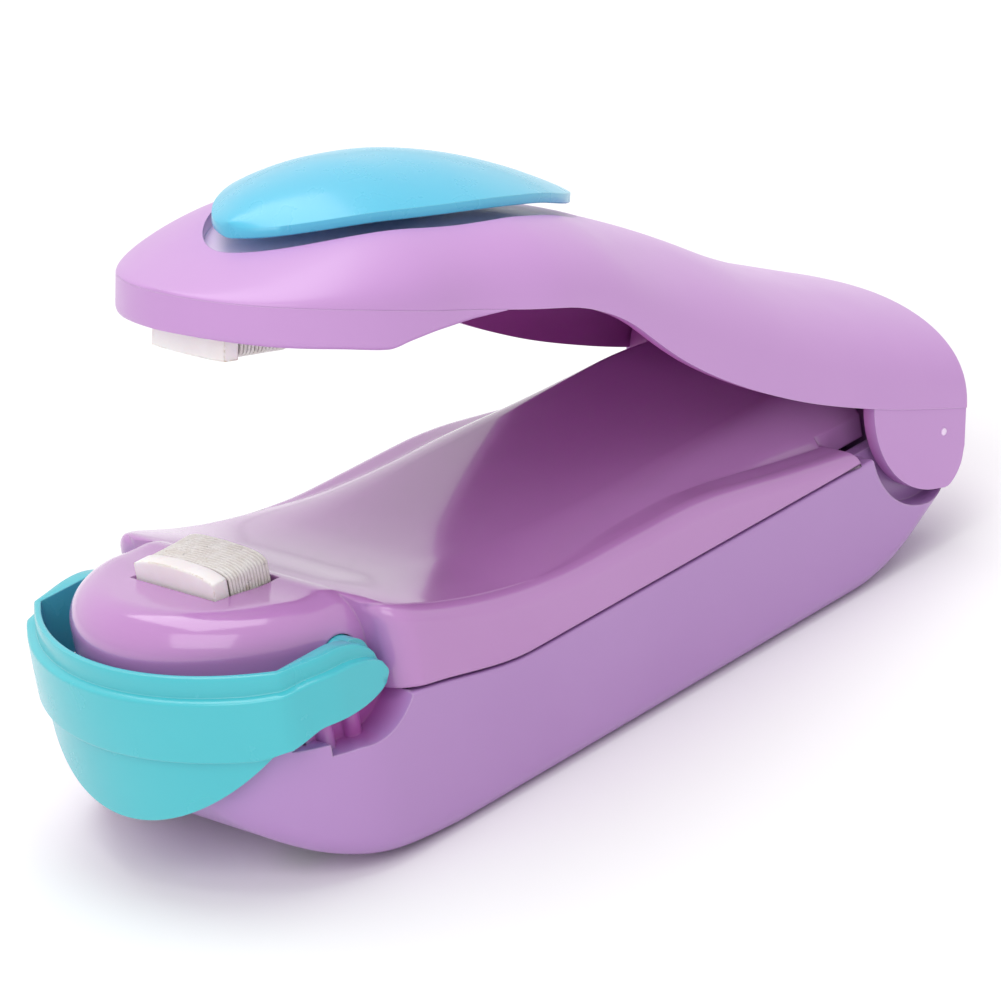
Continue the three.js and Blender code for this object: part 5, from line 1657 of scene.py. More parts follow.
@dataclass(frozen=True)
class Bail:
    """The lock bail: a lipped band round the nose with a hanging tab and two studs."""

    pivot_reach: float = 67.0
    pivot_height: float = 8.2
    centre: float = 59.7
    radius: float = 20.5
    arm_half: float = 14.3
    arm_rear: float = 65.1
    lip: float = 0.6
    band: float = 1.5
    tab: float = 0.85
    arm_extra: float = 1.0
    top: float = 10.5
    lip_share: float = 0.736
    band_low: float = 3.3
    arm_low: float = 4.85
    arm_end: float = 6.7
    end_height: float = 0.6
    end_taper: float = 4.6
    tab_low: float = -2.9
    tab_round: float = 17.4

    def path(self) -> tuple[Array, Array, Array, Array, Array]:
        """Follows the bail from its near end round the nose to its far end.

        Returns:
            Places (n, 2), outward directions (n, 2), the share of full height at the arms' ends, the share
            of arm thickness, and the share of the lower edge's rise, all along the path.
        """
        bend = math.asin(self.arm_half / self.radius)
        arm_start = -self.centre - self.radius * math.cos(bend)
        x_arm = lerp(-self.arm_rear, arm_start, np.linspace(0.0, 1.0, 22)[:-1])
        angle = np.linspace(-bend, bend, 91)
        arc = np.stack([-self.centre - self.radius * np.cos(angle), self.radius * np.sin(angle)], axis=-1)
        near = np.stack([x_arm, np.full_like(x_arm, -self.arm_half)], axis=-1)
        far = near[::-1] * np.array([1.0, -1.0])
        places = np.concatenate([near, arc, far])
        normal_arc = np.stack([-np.cos(angle), np.sin(angle)], axis=-1)
        normal_near = np.tile([0.0, -1.0], (len(near), 1))
        normals = np.concatenate([normal_near, normal_arc, -normal_near])
        margin = len(WINDOW) // 2
        padded = np.pad(normals, ((margin, margin), (0, 0)), mode="edge")
        normals = sum(weight * padded[i : i + len(normals)] for i, weight in enumerate(WINDOW))
        normals /= np.linalg.norm(normals, axis=1, keepdims=True)
        from_end = np.clip((-self.arm_rear - places[:, 0]) / self.end_taper, 0.0, 1.0)
        full = np.sqrt(1 - (1 - from_end) ** 2)
        thick = smoothstep(places[:, 0], arm_start - 1.0, arm_start + self.end_taper)
        lift = smoothstep(places[:, 0], arm_start - 1.9, arm_start + 2.4)
        return places, normals, full, thick, lift

    def section(self, full: Array, thick: Array, lift: Array, y: Array) -> tuple[Array, Array]:
        """Draws the band's section at each place: a round rim, a concave groove, a lip and a tab.

        Args:
            full: share of the full height.
            thick: share of the arm's extra thickness.
            lift: share of the lower edge's rise from the band to the arm.
            y: place across the part, which sets how far the tab hangs.

        Returns:
            Offsets outwards and heights, both of shape (n, m).
        """
        top = lerp(self.arm_end + self.end_height, self.top, full)
        low = lerp(self.arm_end, lerp(self.band_low, self.arm_low, lift), full)
        inside = np.clip(self.tab_round**2 - y**2, 0.0, None)
        hang = np.where(thick < 0.5, self.tab_low + self.tab_round - np.sqrt(inside), low - 0.15)
        tab_low = np.minimum(hang, low - 0.15)
        extra = self.arm_extra * thick
        level = lerp(low, top, self.lip_share)
        rim, band, tab = self.lip + extra, self.band + extra, self.tab + extra
        unit = np.clip((top - low) / (self.top - self.band_low), 0.05, 1.0)
        rows = [
            (0.12, top - 0.03 * unit), (rim - 0.35, top), (rim - 0.12, top - 0.09 * unit),
            (rim, top - 0.35 * unit), (rim + 0.01, top - 0.9 * unit), (rim + 0.03, level + 0.35 * unit),
            (rim + 0.1, level + 0.16 * unit), (band - 0.14, level + 0.04 * unit),
            (band - 0.03, level - 0.08 * unit), (band, level - 0.26 * unit),
            (band + 0.02, lerp(low, level, 0.5)), (band, low + 0.3 * unit), (band - 0.06, low + 0.08 * unit),
            (tab + 0.05, low - 0.03), (tab, low - 0.09), (tab, lerp(low - 0.1, tab_low, 0.5)),
            (tab, tab_low + 0.03), (tab - 0.18, tab_low), (0.18, tab_low), (0.0, tab_low + 0.03),
            (0.0, lerp(tab_low, top, 0.5)), (0.0, top - 0.1 * unit),
        ]
        offsets = np.stack([np.broadcast_to(offset, top.shape) for offset, _ in rows], axis=-1)
        return offsets, np.stack([height for _, height in rows], axis=-1)

    def build(self, shop: Workshop) -> None:
        """Builds the bail.

        Args:
            shop: places and dresses the pieces.
        """
        places, normals, full, thick, lift = self.path()
        offsets, heights = self.section(full, thick, lift, places[:, 1])
        flat = places[:, None] + normals[:, None] * offsets[..., None]
        strip = Solid.from_rings(np.concatenate([flat, heights[..., None]], axis=-1))
        studs = both_sides(lambda side: Solid.rod(
            "y", 1.8, (side * (self.arm_half - 2.7), side * (self.arm_half + self.lip)),
            -self.pivot_reach, self.pivot_height,
        ))
        shop.piece("bail_band", strip.join(*studs), Finish.BAIL_TEAL, Carrier.BAIL,
                   "lock_bail", 40.0)


# The arm, drawn closed.


@dataclass(frozen=True)
class Arm:
    """Top shell, nose cover and hinge yoke."""

    reach: float = 74.8
    rise: float = 26.8
    tail: float = 4.1
    nose_centre: float = 57.0
    nose_half: float = 15.5
    neck: float = 46.0
    cover_rear: float = 52.1
    cavity_rear: float = 56.0
    recess_middle: float = 49.3
    recess_length: float = 19.1
    recess_half: float = 11.5
    recess_fullness: float = 1.75
    recess_float: float = 1.4
    recess_deepens: float = 0.4
    stem_reach: float = 50.0
    stem_hole: float = 2.3
    web_low: float = 6.0
    web_top: float = 7.6
    cover_screw: tuple[float, float] = (60.5, 10.0)
    yoke_screw: tuple[float, float] = (0.4, 9.8)
    crest_shares: Shares = (
        (1.0, 0.757), (0.988, 0.768), (0.963, 0.793), (0.926, 0.831), (0.882, 0.876), (0.829, 0.927),
        (0.775, 0.965), (0.722, 0.981), (0.668, 0.985), (0.561, 0.943), (0.468, 0.863), (0.401, 0.807),
        (0.348, 0.765), (0.294, 0.715), (0.214, 0.631), (0.12, 0.552), (0.04, 0.5), (-0.056, 0.44),
    )
    rim_shares: Shares = (
        (1.0, 0.746), (0.882, 0.733), (0.775, 0.707), (0.668, 0.683), (0.615, 0.675), (0.575, 0.653),
        (0.521, 0.597), (0.475, 0.515), (0.428, 0.437), (0.361, 0.353), (0.29, 0.284), (0.219, 0.229),
        (0.142, 0.185), (0.072, 0.153), (-0.056, 0.112),
    )
    low_shares: Shares = (
        (1.0, 0.634), (0.942, 0.618), (0.891, 0.613), (0.842, 0.604), (0.818, 0.623), (0.784, 0.645),
        (0.756, 0.656), (0.733, 0.666), (0.711, 0.678), (0.696, 0.686),
    )
    under_shares: Shares = (
        (0.91, 0.86), (0.856, 0.895), (0.775, 0.932), (0.668, 0.95), (0.561, 0.933), (0.481, 0.908),
        (0.404, 0.882),
    )

    def crest(self, x: Array | float) -> Array:
        """Gives the height along the middle of the top."""
        return Outline(self.crest_shares, self.reach, self.rise, 2.0)(x)

    def rim(self, x: Array | float) -> Array:
        """Gives the height of the lower edge along each side."""
        return Outline(self.rim_shares, self.reach, self.rise, 1.6)(x)

    def cover_low(self, x: Array | float) -> Array:
        """Gives the height of the nose cover's underside."""
        return Outline(self.low_shares, self.reach, self.rise, 0.3)(x)

    def pad_under(self, x: Array | float) -> Array:
        """Gives the height of the thumb pad's lower edge."""
        return Outline(self.under_shares, self.reach, self.rise, 1.5)(x)

    def half(self, x: Array) -> Array:
        """Gives the half width: an ellipse round the nose that widens smoothly to the full width.

        Args:
            x: places along X.

        Returns:
            The half width at each place.
        """
        forward = np.clip((-self.nose_centre - x) / (self.reach - self.nose_centre), 0.0, 1.0)
        widened = lerp(self.nose_half, HALF_WIDTH, smoothstep(x, -self.nose_centre, -self.neck))
        return widened * np.sqrt(1 - forward**2)

    def fullness(self, x: Array) -> Array:
        """Gives the section's exponent: fuller in the middle, softer at the nose.

        Args:
            x: places along X.

        Returns:
            The exponents.
        """
        middle = smoothstep(-x, self.reach * 0.2, self.reach * 0.6)
        nose = smoothstep(-x, self.reach * 0.75, self.reach)
        return 2.35 - 0.05 * middle - 0.35 * nose

    def rings(self, x: Array, inset: float, drop: float) -> Array:
        """Draws the arm's sections: half a squared oval from rim to rim, closed straight below.

        Args:
            x: stations.
            inset: how far the section lies inside the skin.
            drop: how far the flat underside lies below the rim.

        Returns:
            Rings of shape (n, m, 3).
        """
        half, rim, crest = self.half(x) - inset, self.rim(x), self.crest(x) - inset
        exponent = (2 / self.fullness(x))[:, None]
        angle = np.linspace(0.0, np.pi, 73)
        height = np.clip(np.sin(angle), 0.0, 1.0)[None] ** exponent
        y = half[:, None] * power(np.cos(angle)[None], exponent)
        z = rim[:, None] + (crest - rim)[:, None] * height
        section = np.stack([y, z], axis=-1)
        if drop > 0:
            below = np.stack([np.stack([-half, rim - drop], -1), np.stack([half, rim - drop], -1)], axis=1)
            section = np.concatenate([section, below], axis=1)
        return with_x(x, section)

    def stations(self, front: float) -> Array:
        """Spreads 119 stations from the nose to near the tail, a third of them drawn together at the nose."""
        nose = stations(front, -self.nose_centre, 40, 0.9)
        return np.concatenate([nose[:-1], stations(-self.nose_centre, 2.0, 80)])

    @staticmethod
    def at_screw(place: Sequence[float], radius: float, run: Sequence[float], side: int, sides: int) -> Solid:
        """Makes an upright bar at one side's screw of a pair, whose place is its reach and how far across."""
        return Solid.rod("z", radius, run, -place[0], side * place[1], sides)

    def paint_shade_and_light(self, solid: Solid) -> None:
        """Paints shade on the inside of the shell and light on the recess, through the hollow and sunk
        attributes.

        Args:
            solid: the shell.
        """
        x, y, z = solid.points().T
        exponent = self.fullness(x)
        across = np.clip(1 - np.abs(y / self.half(x)) ** exponent, 0.0, 1.0) ** (1 / exponent)
        skin = self.rim(x) + (self.crest(x) - self.rim(x)) * across
        reach = np.abs((x + self.recess_middle) / (self.recess_length + 0.2)) ** self.recess_fullness
        reach += np.abs(y / (self.recess_half + 0.2)) ** self.recess_fullness
        sunk = (reach < 1) & (z > self.floor(x) - 0.5)
        # Painted shade inside the shell, away from the recess.
        solid.write("hollow", np.where(sunk, 0.0, smoothstep(skin - z, 0.5, 1.0)))
        # Painted light on the recess walls and floor.
        solid.write("sunk", np.where(sunk, smoothstep(skin - z, 0.1, 0.4), 0.0))

    def inside(self, inset: float, drop: float) -> Solid:
        """Makes the body of the hollow, or of what must stay inside the shell.

        Args:
            inset: how far it lies inside the skin.
            drop: how far it reaches below the rim.

        Returns:
            The body.
        """
        x = self.stations(-(self.reach - inset) + 0.02)
        x = np.append(x[self.half(x) > 1.5 * inset], self.tail - inset)
        return Solid.from_rings(self.rings(x, inset, drop))

    def floor(self, x: Array) -> Array:
        """Gives the height of the recess floor under the pad, a little deeper at the rear."""
        return self.pad_under(x) - self.recess_float - self.recess_deepens * smoothstep(x, -44.0, -34.0)

    def recess(self, grow: float, lowered: float) -> Solid:
        """Makes an oval plug over the recess whose underside follows the floor.

        Args:
            grow: how far the oval is widened.
            lowered: how far the underside lies below the floor.

        Returns:
            The plug, up to above the arm.
        """
        outline = oval(-self.recess_middle, self.recess_length + grow, self.recess_half + grow,
                       self.recess_fullness, 240)
        plug = Solid.prism(outline, "z", (0.0, self.rise + 2 * OVERRUN))
        x = np.linspace(-self.recess_middle - 21.0, -self.recess_middle + 21.0, 60)
        low = self.floor(x) - lowered
        return plug.limit(Solid.slab(x, BEYOND, low, np.full_like(low, 2 * BEYOND)))

    def top_shell(self) -> Solid:
        """Hollows the arm, cuts the recess and adds the screw bosses.

        Returns:
            The shell.
        """
        tail_round = 0.5
        x = np.append(self.stations(-self.reach + 0.01), self.tail - tail_round)
        turn = np.linspace(0.0, np.pi / 2, 6)[1:]
        tail_x = self.tail - tail_round + tail_round * np.sin(turn)
        tail = np.concatenate([
            with_x(np.array([place]), self.rings(x[-1:], inset, 0.0)[:, :, 1:])
            for place, inset in zip(tail_x, tail_round * (1 - np.cos(turn)))
        ])
        outer = Solid.from_rings(np.concatenate([self.rings(x, 0.0, 0.0), tail]))
        body = outer.cut(self.inside(WALL, OVERRUN).cut(self.recess(WALL, WALL)))
        cover_x, yoke_x = -self.cover_screw[0], -self.yoke_screw[0]
        cover_top, yoke_top = (float(self.crest(place)) - 2 * WALL for place in (cover_x, yoke_x))
        cover_run = (float(self.cover_low(cover_x)) + WALL + JOINT_GAP, cover_top)
        yoke_run = (self.web_top + JOINT_GAP, yoke_top)
        for side in (-1, 1):
            cover_boss = self.at_screw(self.cover_screw, SCREW_BOSS, cover_run, side, 64)
            yoke_boss = self.at_screw(self.yoke_screw, SCREW_BOSS, yoke_run, side, 64)
            body = body.join(cover_boss.limit(outer), yoke_boss.limit(outer))
        stem_hole = Solid.rod("z", self.stem_hole, (0.0, 40.0), -self.stem_reach, 0.0)
        body = body.cut(self.recess(0.0, 0.0), stem_hole)
        for side in (-1, 1):
            body = body.cut(
                self.at_screw(self.cover_screw, SCREW_BORE, (0.0, 20.5), side, 32),
                self.at_screw(self.yoke_screw, SCREW_BORE, (0.0, 9.9), side, 32),
            )
        return body

    def cover_rings(self, x: Array, inset: float, low: Array, top: Array) -> Array:
        """Draws the nose cover's sections: a tray with rounded lower corners.

        Args:
            x: stations.
            inset: how far the section lies inside the skin.
            low: the height of the underside.
            top: the height of the open side.

        Returns:
            Rings of shape (n, m, 3).
        """
        half = np.maximum(self.half(x) - inset, 0.05)
        radius = np.minimum(np.minimum(0.65, half / 2), 0.8 * (top - low))
        upper = np.stack([half, top], axis=-1)[:, None]
        right = np.concatenate([upper, lower_corner(half, low, radius, 7)], axis=1)
        return with_x(x, np.concatenate([right, mirrored(right)], axis=1))

    def cover(self, head: Head) -> Solid:
        """Hollows the nose cover and cuts the heater's window and the screw holes.

        Args:
            head: gives the heater's window.

        Returns:
            The cover.
        """
        nose = stations(-self.reach + 0.01, -self.nose_centre, 44, 0.9)
        x = np.concatenate([nose[:-1], stations(-self.nose_centre, -self.cover_rear, 14)])
        x = np.unique(np.append(x, np.linspace(-64.0, -60.0, 25)))
        outer = Solid.from_rings(self.cover_rings(x, -0.04, self.cover_low(x), self.rim(x) + 0.01))
        inner_x = np.append(x[(x < -self.cavity_rear) & (self.half(x) > 2 * WALL)], -self.cavity_rear)
        floor = self.cover_low(inner_x) + WALL
        inner = Solid.from_rings(self.cover_rings(inner_x, WALL, floor, self.rim(inner_x) + OVERRUN))
        seat = float(self.cover_low(-self.cover_screw[0])) - 0.4
        holes = [
            self.at_screw(self.cover_screw, radius, (0.0, top), side, sides)
            for side in (-1, 1)
            for radius, top, sides in ((SCREW_BORE, BEYOND, 32), (SCREW_HEAD, seat + 1.2, 48))
        ]
        return outer.cut(inner, head.window(), *holes)

    def yoke(self) -> Solid:
        """Joins the two ears, their necks inside the shell, the tongues and the web between them.

        Returns:
            The yoke.
        """
        angle, radius = np.linspace(np.pi, 1.5 * np.pi, 64), 8.6
        arc = np.stack([0.3 + radius * np.cos(angle), 4.9 + radius * np.sin(angle)], axis=-1)
        tip = smooth_path(np.array([
            [0.3, 0.0, -3.7], [1.9, 0.0, -3.62], [3.3, 0.0, -2.1], [3.8, 0.0, -0.3],
        ]), 8)[1:, [0, 2]]
        outline = np.concatenate([arc, tip, [[3.8, 13.4], [-8.3, 13.4]]])
        x = np.linspace(-9.8, 5.3, 24)
        level = self.rim(x) + 0.01
        below = Solid.slab(x, 2 * HALF_WIDTH, np.full_like(level, -self.rise), level)
        inside = self.inside(WALL + JOINT_GAP, OVERRUN)
        web_z = (self.web_low, self.web_top)
        body = Solid.box((-1.5, self.tail), (-HALF_WIDTH, HALF_WIDTH), web_z).limit(inside)
        dot_profile = np.array([(17.0, 0.36), (17.42, 0.36), (17.5, 0.3), (17.56, 0.16), (17.57, 0.02)])
        for side in (-1, 1):
            tongue = Solid.box((-4.0, self.tail), (side * 13.9, side * HALF_WIDTH), (4.2, self.web_top))
            neck = Solid.prism(outline, "y", (side * 15.4, side * HALF_WIDTH)).limit(inside)
            neck = neck.limit(Solid.box((-4.0, OVERRUN), (-20.0, 20.0), (-OVERRUN, BEYOND)))
            disc = Solid.prism(outline, "y", (side * 16.1, side * 17.4)).limit(below)
            if side > 0:
                disc = disc.limit(Solid.box((-3.0, OVERRUN), (0.0, 20.0), (-OVERRUN, BEYOND)))
            dot = Solid.turned(dot_profile * np.array([side, 1.0]), "y", 0.9, 1.3, 24)
            body = body.join(tongue.limit(inside), neck, disc, dot)
        holes = [self.at_screw(self.yoke_screw, SCREW_BORE, (0.0, BEYOND), side, 32) for side in (-1, 1)]
        body = body.cut(Solid.rod("y", PIN_BORE, (-16.47, 16.47), 0.0, 0.0), *holes)
        across = np.abs(body.points()[:, 1])
        # Painted shade: the ears' inner parts are marked hollow, which darkens them.
        body.write("hollow", smoothstep(17.0 - across, 0.4, 1.2))
        # Painted glint: the outer dots are marked sunk, which lightens them to a pale lilac.
        body.write("sunk", smoothstep(across, 17.44, 17.5))
        return body

    def build(self, shop: Workshop, head: Head) -> None:
        """Builds the shell, the cover and the yoke, and dresses the switch.

        Args:
            shop: places and dresses the pieces.
            head: the upper heater.
        """
        shell = self.top_shell()
        self.paint_shade_and_light(shell)
        shop.piece("arm_skin", shell, Finish.ARM_LILAC, Carrier.ARM, "arm_top_shell")
        shop.piece("nose_tray", self.cover(head), Finish.ARM_LILAC, Carrier.ARM, "arm_nose_cover")
        shop.piece("hinge_ears", self.yoke(), Finish.ARM_LILAC, Carrier.ARM, "hinge_yoke")
        shop.dress(["switch_block"], Finish.PHENOLIC)
        shop.dress(["switch_leaf_top", "switch_leaf_bottom"], Finish.NICKEL)


@dataclass(frozen=True)
class ThumbPad:
    """The domed thumb pad, its stem and the spring under it."""

    arm: Arm
    middle: float = 49.2
    length: float = 18.3
    half: float = 10.7
    fullness: float = 1.8
    edge: float = 0.9
    stem_low: float = 21.6
    travel: float = 1.0
    pocket: float = 2.0
    front_rise: float = 0.4
    rear_sink: float = 0.7
    spring_radius: float = 3.0
    wire: float = 0.3
    top_shares: Shares = (
        (0.908, 0.915), (0.889, 0.955), (0.86, 0.995), (0.802, 1.045), (0.735, 1.075), (0.668, 1.078),
        (0.602, 1.058), (0.535, 1.016), (0.468, 0.955), (0.428, 0.913), (0.409, 0.892),
    )

    def top(self, x: Array) -> Array:
        """Gives the height along the middle of the dome."""
        return Outline(self.top_shares, self.arm.reach, self.arm.rise, 2.2)(x)

    def under(self, x: Array) -> Array:
        """Gives the height of the lower edge, which rises a little up front and sinks a little at the rear."""
        rise = self.front_rise * smoothstep(-x, 50.0, 64.0)
        return self.arm.pad_under(x) + rise - self.rear_sink * smoothstep(x, -44.0, -31.0)

    @property
    def ceiling(self) -> float:
        """Gives the height of the spring pocket's ceiling."""
        return float(self.arm.pad_under(-self.arm.stem_reach)) + self.pocket

    def body(self) -> Solid:
        """Draws the pad's sections: a low edge with rounded corners under a parabolic dome.

        Returns:
            The pad without its stem.
        """
        turn = np.linspace(np.pi, 0.0, 92)[1:-1]
        exponent = 2 / self.fullness
        x = -self.middle + self.length * power(np.cos(turn), exponent)
        half = self.half * np.sin(turn) ** exponent
        low = self.under(x)
        edge = low + self.edge
        crown = np.maximum(self.top(x), edge + 0.05)
        across = np.cos(np.linspace(0.0, np.pi, 61))
        dome = np.stack([
            half[:, None] * across, edge[:, None] + (crown - edge)[:, None] * (1 - across**2),
        ], axis=-1)
        bevel = np.minimum(0.45, half / 3)
        foot = np.array([[1.0, 0.35], [0.86, 0.2], [0.55, 0.07], [0.0, 0.0]])
        right = np.stack([
            half[:, None] - bevel[:, None] * (1 - foot[::-1, 0]),
            low[:, None] + 0.55 * foot[::-1, 1] * self.edge,
        ], axis=-1)
        return Solid.from_rings(with_x(x, np.concatenate([right, dome, mirrored(right)], axis=1)))

    def spring(self) -> Solid:
        """Winds the pad's spring round the stem.

        Returns:
            The spring.
        """
        low = float(self.arm.floor(-self.arm.stem_reach)) + JOINT_GAP + self.wire
        high = self.ceiling - JOINT_GAP - self.wire
        pitch = 2 * self.wire + 1.5 * JOINT_GAP
        turn = coil_angles((high - low) / pitch, 40)
        path = np.stack([
            -self.arm.stem_reach + self.spring_radius * np.cos(turn), self.spring_radius * np.sin(turn),
            low + pitch * turn / (2 * np.pi),
        ], axis=-1)
        return Solid.tube(path, self.wire, (0, 0, 1))

    def build(self, shop: Workshop) -> None:
        """Builds the pad and its spring.

        Args:
            shop: places and dresses the pieces.
        """
        reach = self.arm.stem_reach
        body = self.body().cut(Solid.rod("z", 4.0, (0.0, self.ceiling), -reach, 0.0), exact=True)
        body = body.join(Solid.rod("z", 2.0, (self.stem_low, self.ceiling + 0.6), -reach, 0.0), exact=True)
        shop.piece("pad_dome", body, Finish.PAD_BLUE, Carrier.PAD, "thumb_pad", 45.0, False)
        coil = shop.piece("pad_coil", self.spring(), Finish.STEEL, Carrier.ARM, "pad_spring", 60.0,
                          False)
        seat = float(self.arm.floor(-reach)) + JOINT_GAP
        place = place_matrix(Carrier.ARM)
        1 - self.travel / (self.ceiling - JOINT_GAP - seat)
        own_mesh(coil)


@dataclass(frozen=True)
class Wiring:
    """The hinge spring and the lead wires."""

    radius: float = 0.45
    routes: tuple[tuple[str, Finish, Carrier, tuple[tuple[float, float, float], ...]], ...] = (
        ("lead_negative", Finish.BLACK_LEAD, Carrier.BASE, (
            (-9.7, 12.1, 0.2), (-9.8, 13.4, 0.6), (-11.2, 14.9, 1.3), (-18, 15.2, 1.9), (-40, 15.3, 1.9),
            (-56, 15.2, 2.2), (-59.6, 14.6, 4.6), (-61.8, 12.9, 6.0), (-63.6, 11.0, 6.6), (-64.9, 8.6, 8.0),
            (-64.6, 6.4, 10.0),
        )),
        ("lead_positive", Finish.RED_LEAD, Carrier.BASE, (
            (-9.1, -4.6, 3.4), (-7.4, -4.6, 3.8), (-4.6, -4.6, 4.0), (-2.2, -4.6, 3.8), (-0.9, -4.6, 4.0),
        )),
        ("lead_return", Finish.BLACK_LEAD, Carrier.BASE, (
            (-64.6, -6.4, 10.0), (-64.9, -8.6, 8.0), (-63.6, -11.0, 6.6), (-61.8, -12.9, 6.0),
            (-59.6, -14.6, 4.6), (-56, -15.2, 2.2), (-40, -15.3, 1.9), (-18, -15.2, 1.9), (-12.6, -15.1, 1.5),
            (-10.9, -14.9, 1.4),
            (-9.8, -13.9, 1.3), (-8.6, -13.2, 1.3), (-6.6, -11.8, 2.2), (-5.0, -8.6, 3.6), (-2.6, -7.0, 3.9),
            (-0.9, -6.8, 4.0),
        )),
        ("lead_switch", Finish.RED_LEAD, Carrier.ARM, (
            (-1.5, -4.6, 4.8), (-2.3, -4.5, 5.6), (-4.0, -4.0, 8.0), (-12, -4.0, 12.0), (-24, -4.0, 16.4),
            (-36, -4.4, 19.2), (-48, -4.9, 19.9), (-55, -5.2, 20.2), (-58.4, -4.9, 20.4),
        )),
        ("lead_head", Finish.RED_LEAD, Carrier.ARM, (
            (-62.9, 2.6, 20.1), (-63.6, 3.6, 20.1), (-64.1, 5.2, 19.8), (-64.2, 6.2, 19.0),
        )),
        ("lead_back", Finish.BLACK_LEAD, Carrier.ARM, (
            (-64.2, -6.2, 19.0), (-64.0, -7.0, 20.0), (-60, -7.2, 20.6), (-52, -7.2, 20.2), (-40, -7.0, 19.2),
            (-28, -6.9, 16.8), (-14, -6.8, 12.2), (-4.0, -6.8, 8.0), (-2.3, -6.8, 5.6), (-1.5, -6.8, 4.8),
        )),
    )

    @staticmethod
    def hinge_spring() -> Solid:
        """Winds the spring round the pin and runs its two legs forward.

        Returns:
            The spring.
        """
        loops, pitch, radius, wire = 4.5, 1.25, 2.1, 0.4
        turn = coil_angles(loops, 48)
        coil = np.stack([
            -radius * np.sin(turn), -2.5 + pitch * turn / (2 * np.pi), -radius * np.cos(turn),
        ], axis=-1)
        leg = np.linspace(0.0, 1.0, 9)[1:, None]
        base_leg = coil[0] + leg[::-1] * np.array([-6.0, 0.0, 0.0])
        arm_leg = coil[-1] + leg * np.array([-5.2, 0.0, 0.0])
        if coil[1, 0] < coil[0, 0]:
            coil = coil * np.array([-1.0, 1.0, 1.0])
        return Solid.tube(np.concatenate([base_leg, coil, arm_leg]), wire, (0, 1, 0))

    def build(self, shop: Workshop) -> None:
        """Builds the spring and the leads.

        Args:
            shop: places and dresses the pieces.
        """
        shop.piece("hinge_coil", self.hinge_spring(), Finish.STEEL, Carrier.BASE, "return_spring",
                   60.0, False)
        for node, finish, carrier, route in self.routes:
            tube = Solid.tube(smooth_path(np.array(route, float), 12), self.radius, (0, 0, 1), 16)
            shop.piece(node.replace("lead_", "wire_"), tube, finish, carrier, node, 60.0, False)


# The studio.


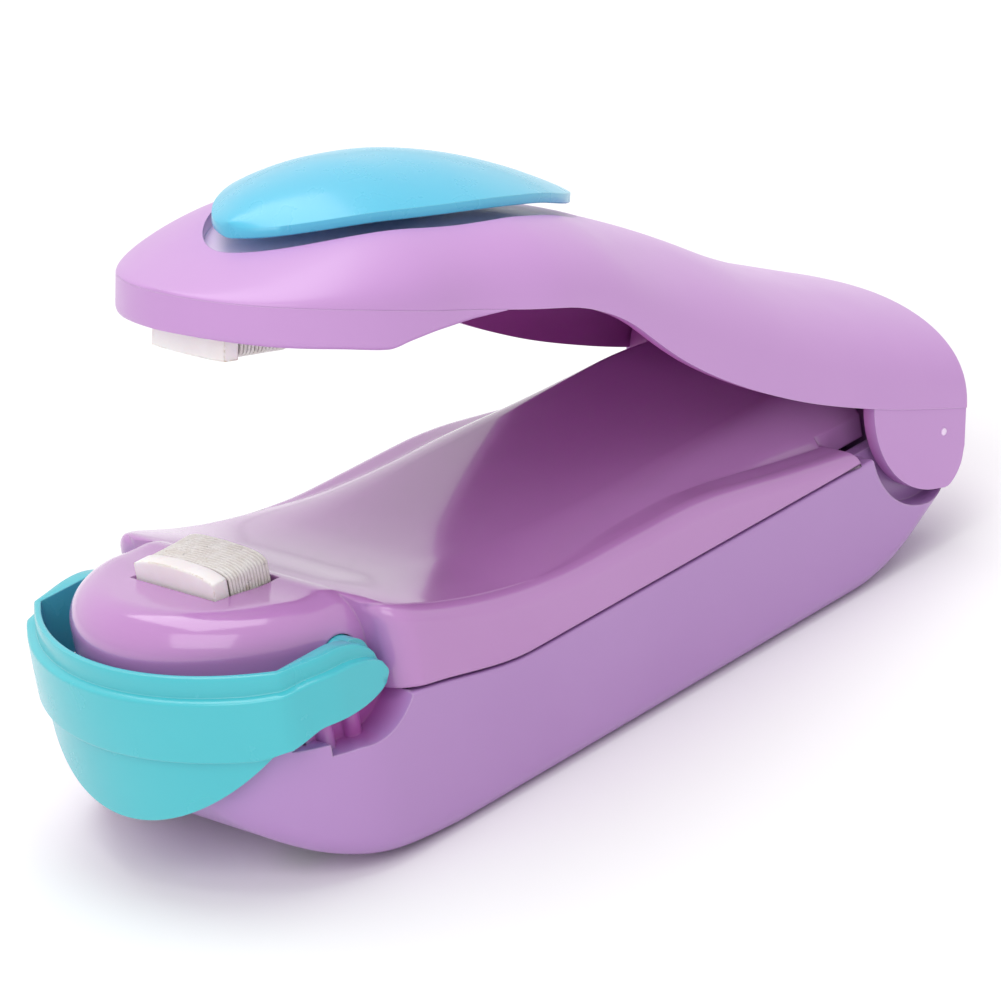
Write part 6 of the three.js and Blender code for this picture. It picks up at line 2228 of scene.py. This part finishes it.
@dataclass(frozen=True)
class Studio:
    """A pale floor, soft lamps and the camera."""

    right: tuple[float, float, float] = (0.69620252, -0.702028, -0.14986237)
    up: tuple[float, float, float] = (0.37636727, 0.17920493, 0.90897375)
    back: tuple[float, float, float] = (-0.61126895, -0.68923311, 0.38898329)
    place: tuple[float, float, float] = (-326.57629326, -328.14480631, 191.42541203)
    lens: float = 201.83

    def camera(self) -> None:
        """Sets the camera as it stood for the photograph."""
        data = bpy.data.cameras.new("camera")
        data.sensor_width = 36.0
        data.sensor_fit = "HORIZONTAL"
        data.lens = self.lens
        data.clip_start, data.clip_end = 0.01, 20.0
        camera = bpy.data.objects.new("camera", data)
        matrix = Matrix((self.right, self.up, self.back)).transposed().to_4x4()
        matrix.translation = (Vector(self.place) + Vector(HINGE_IN_ROW)) * MILLIMETRE
        camera.matrix_world = matrix
        bpy.context.scene.collection.objects.link(camera)
        bpy.context.scene.camera = camera

    @staticmethod
    def floor() -> None:
        """Lays a wide pale floor just under the part."""
        size, level = 6.0, -0.00005
        mesh = bpy.data.meshes.new("floor")
        corners = [(-size, -size, level), (size, -size, level), (size, size, level), (-size, size, level)]
        mesh.from_pydata(corners, [], [(0, 1, 2, 3)])
        material, sheet, shader = blank_material("pale_floor")
        tone = sheet.mix(sheet.noise(sheet.place(), 3.0), (0.93, 0.93, 0.93, 1), (0.95, 0.95, 0.95, 1))
        sheet.fill(shader, Base_Color=tone, Roughness=0.9, Specular_IOR_Level=0.1)
        mesh.materials.append(material)
        floor = bpy.data.objects.new("floor", mesh)
        bpy.context.scene.collection.objects.link(floor)

    @staticmethod
    def lamp(name: str, place: Sequence[float], size: Sequence[float], power_w: float) -> None:
        """Hangs a soft rectangular lamp that faces the part.

        Args:
            name: the lamp's name.
            place: its place in metres.
            size: its two sides in metres.
            power_w: its power in watts.
        """
        data = bpy.data.lights.new(name, "AREA")
        data.shape = "RECTANGLE"
        data.size, data.size_y = size
        data.energy = power_w
        lamp = bpy.data.objects.new(name, data)
        place_vector = Vector(place)
        aim = (Vector((0.0, 0.0, 0.02)) - place_vector).to_track_quat("-Z", "Y")
        lamp.matrix_world = Matrix.Translation(place_vector) @ aim.to_matrix().to_4x4()
        bpy.context.scene.collection.objects.link(lamp)

    @staticmethod
    def sky() -> None:
        """Lights the part evenly from all round, and shows white behind it and in its reflections."""
        world = bpy.data.worlds.new("studio")
        bpy.context.scene.world = world
        world.use_nodes = True
        sheet = NodeSheet(world.node_tree)
        background = world.node_tree.nodes["Background"]
        background.inputs["Color"].default_value = (1, 1, 1, 1)
        rays = sheet.add("ShaderNodeLightPath")
        seen = sheet.math("MAXIMUM", rays.outputs["Is Camera Ray"], rays.outputs["Is Glossy Ray"])
        seen = sheet.math("MAXIMUM", seen, rays.outputs["Is Transmission Ray"])
        strength = sheet.fill(sheet.add("ShaderNodeMapRange"), Value=seen, To_Min=0.61, To_Max=1.0)
        sheet.join(strength.outputs[0], background.inputs["Strength"])

    def build(self) -> None:
        """Builds the camera, the floor and the lamps."""
        bpy.context.scene.view_settings.view_transform = "Standard"
        self.camera()
        self.floor()
        self.sky()
        self.lamp("key", (-0.65, -0.33, 0.68), (0.7, 0.7), 3.0)
        self.lamp("top", (0.1, 0.2, 0.9), (0.6, 0.9), 4.4)


def main() -> None:
    """Builds the studio and every sub-assembly."""
    logging.basicConfig(level=logging.INFO, format="%(name)s %(message)s")
    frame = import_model()
    Studio().build()
    shop = Workshop(frame)
    lower = Head("lower", front=71.6, crown=15.3, up=1, carrier=Carrier.BASE)
    upper = Head("upper", front=71.7, crown=14.55, up=-1, carrier=Carrier.ARM, dome=0.15, length=7.4,
                 half=4.4, core_half=3.35, winding_extra=0.05)
    bay = BatteryBay()
    arm = Arm()
    Base().build(shop, bay, lower)
    bay.build(shop)
    lower.build(shop)
    upper.build(shop)
    Bail().build(shop)
    arm.build(shop, upper)
    ThumbPad(arm).build(shop)
    Wiring().build(shop)


if __name__ == "__main__":
    main()
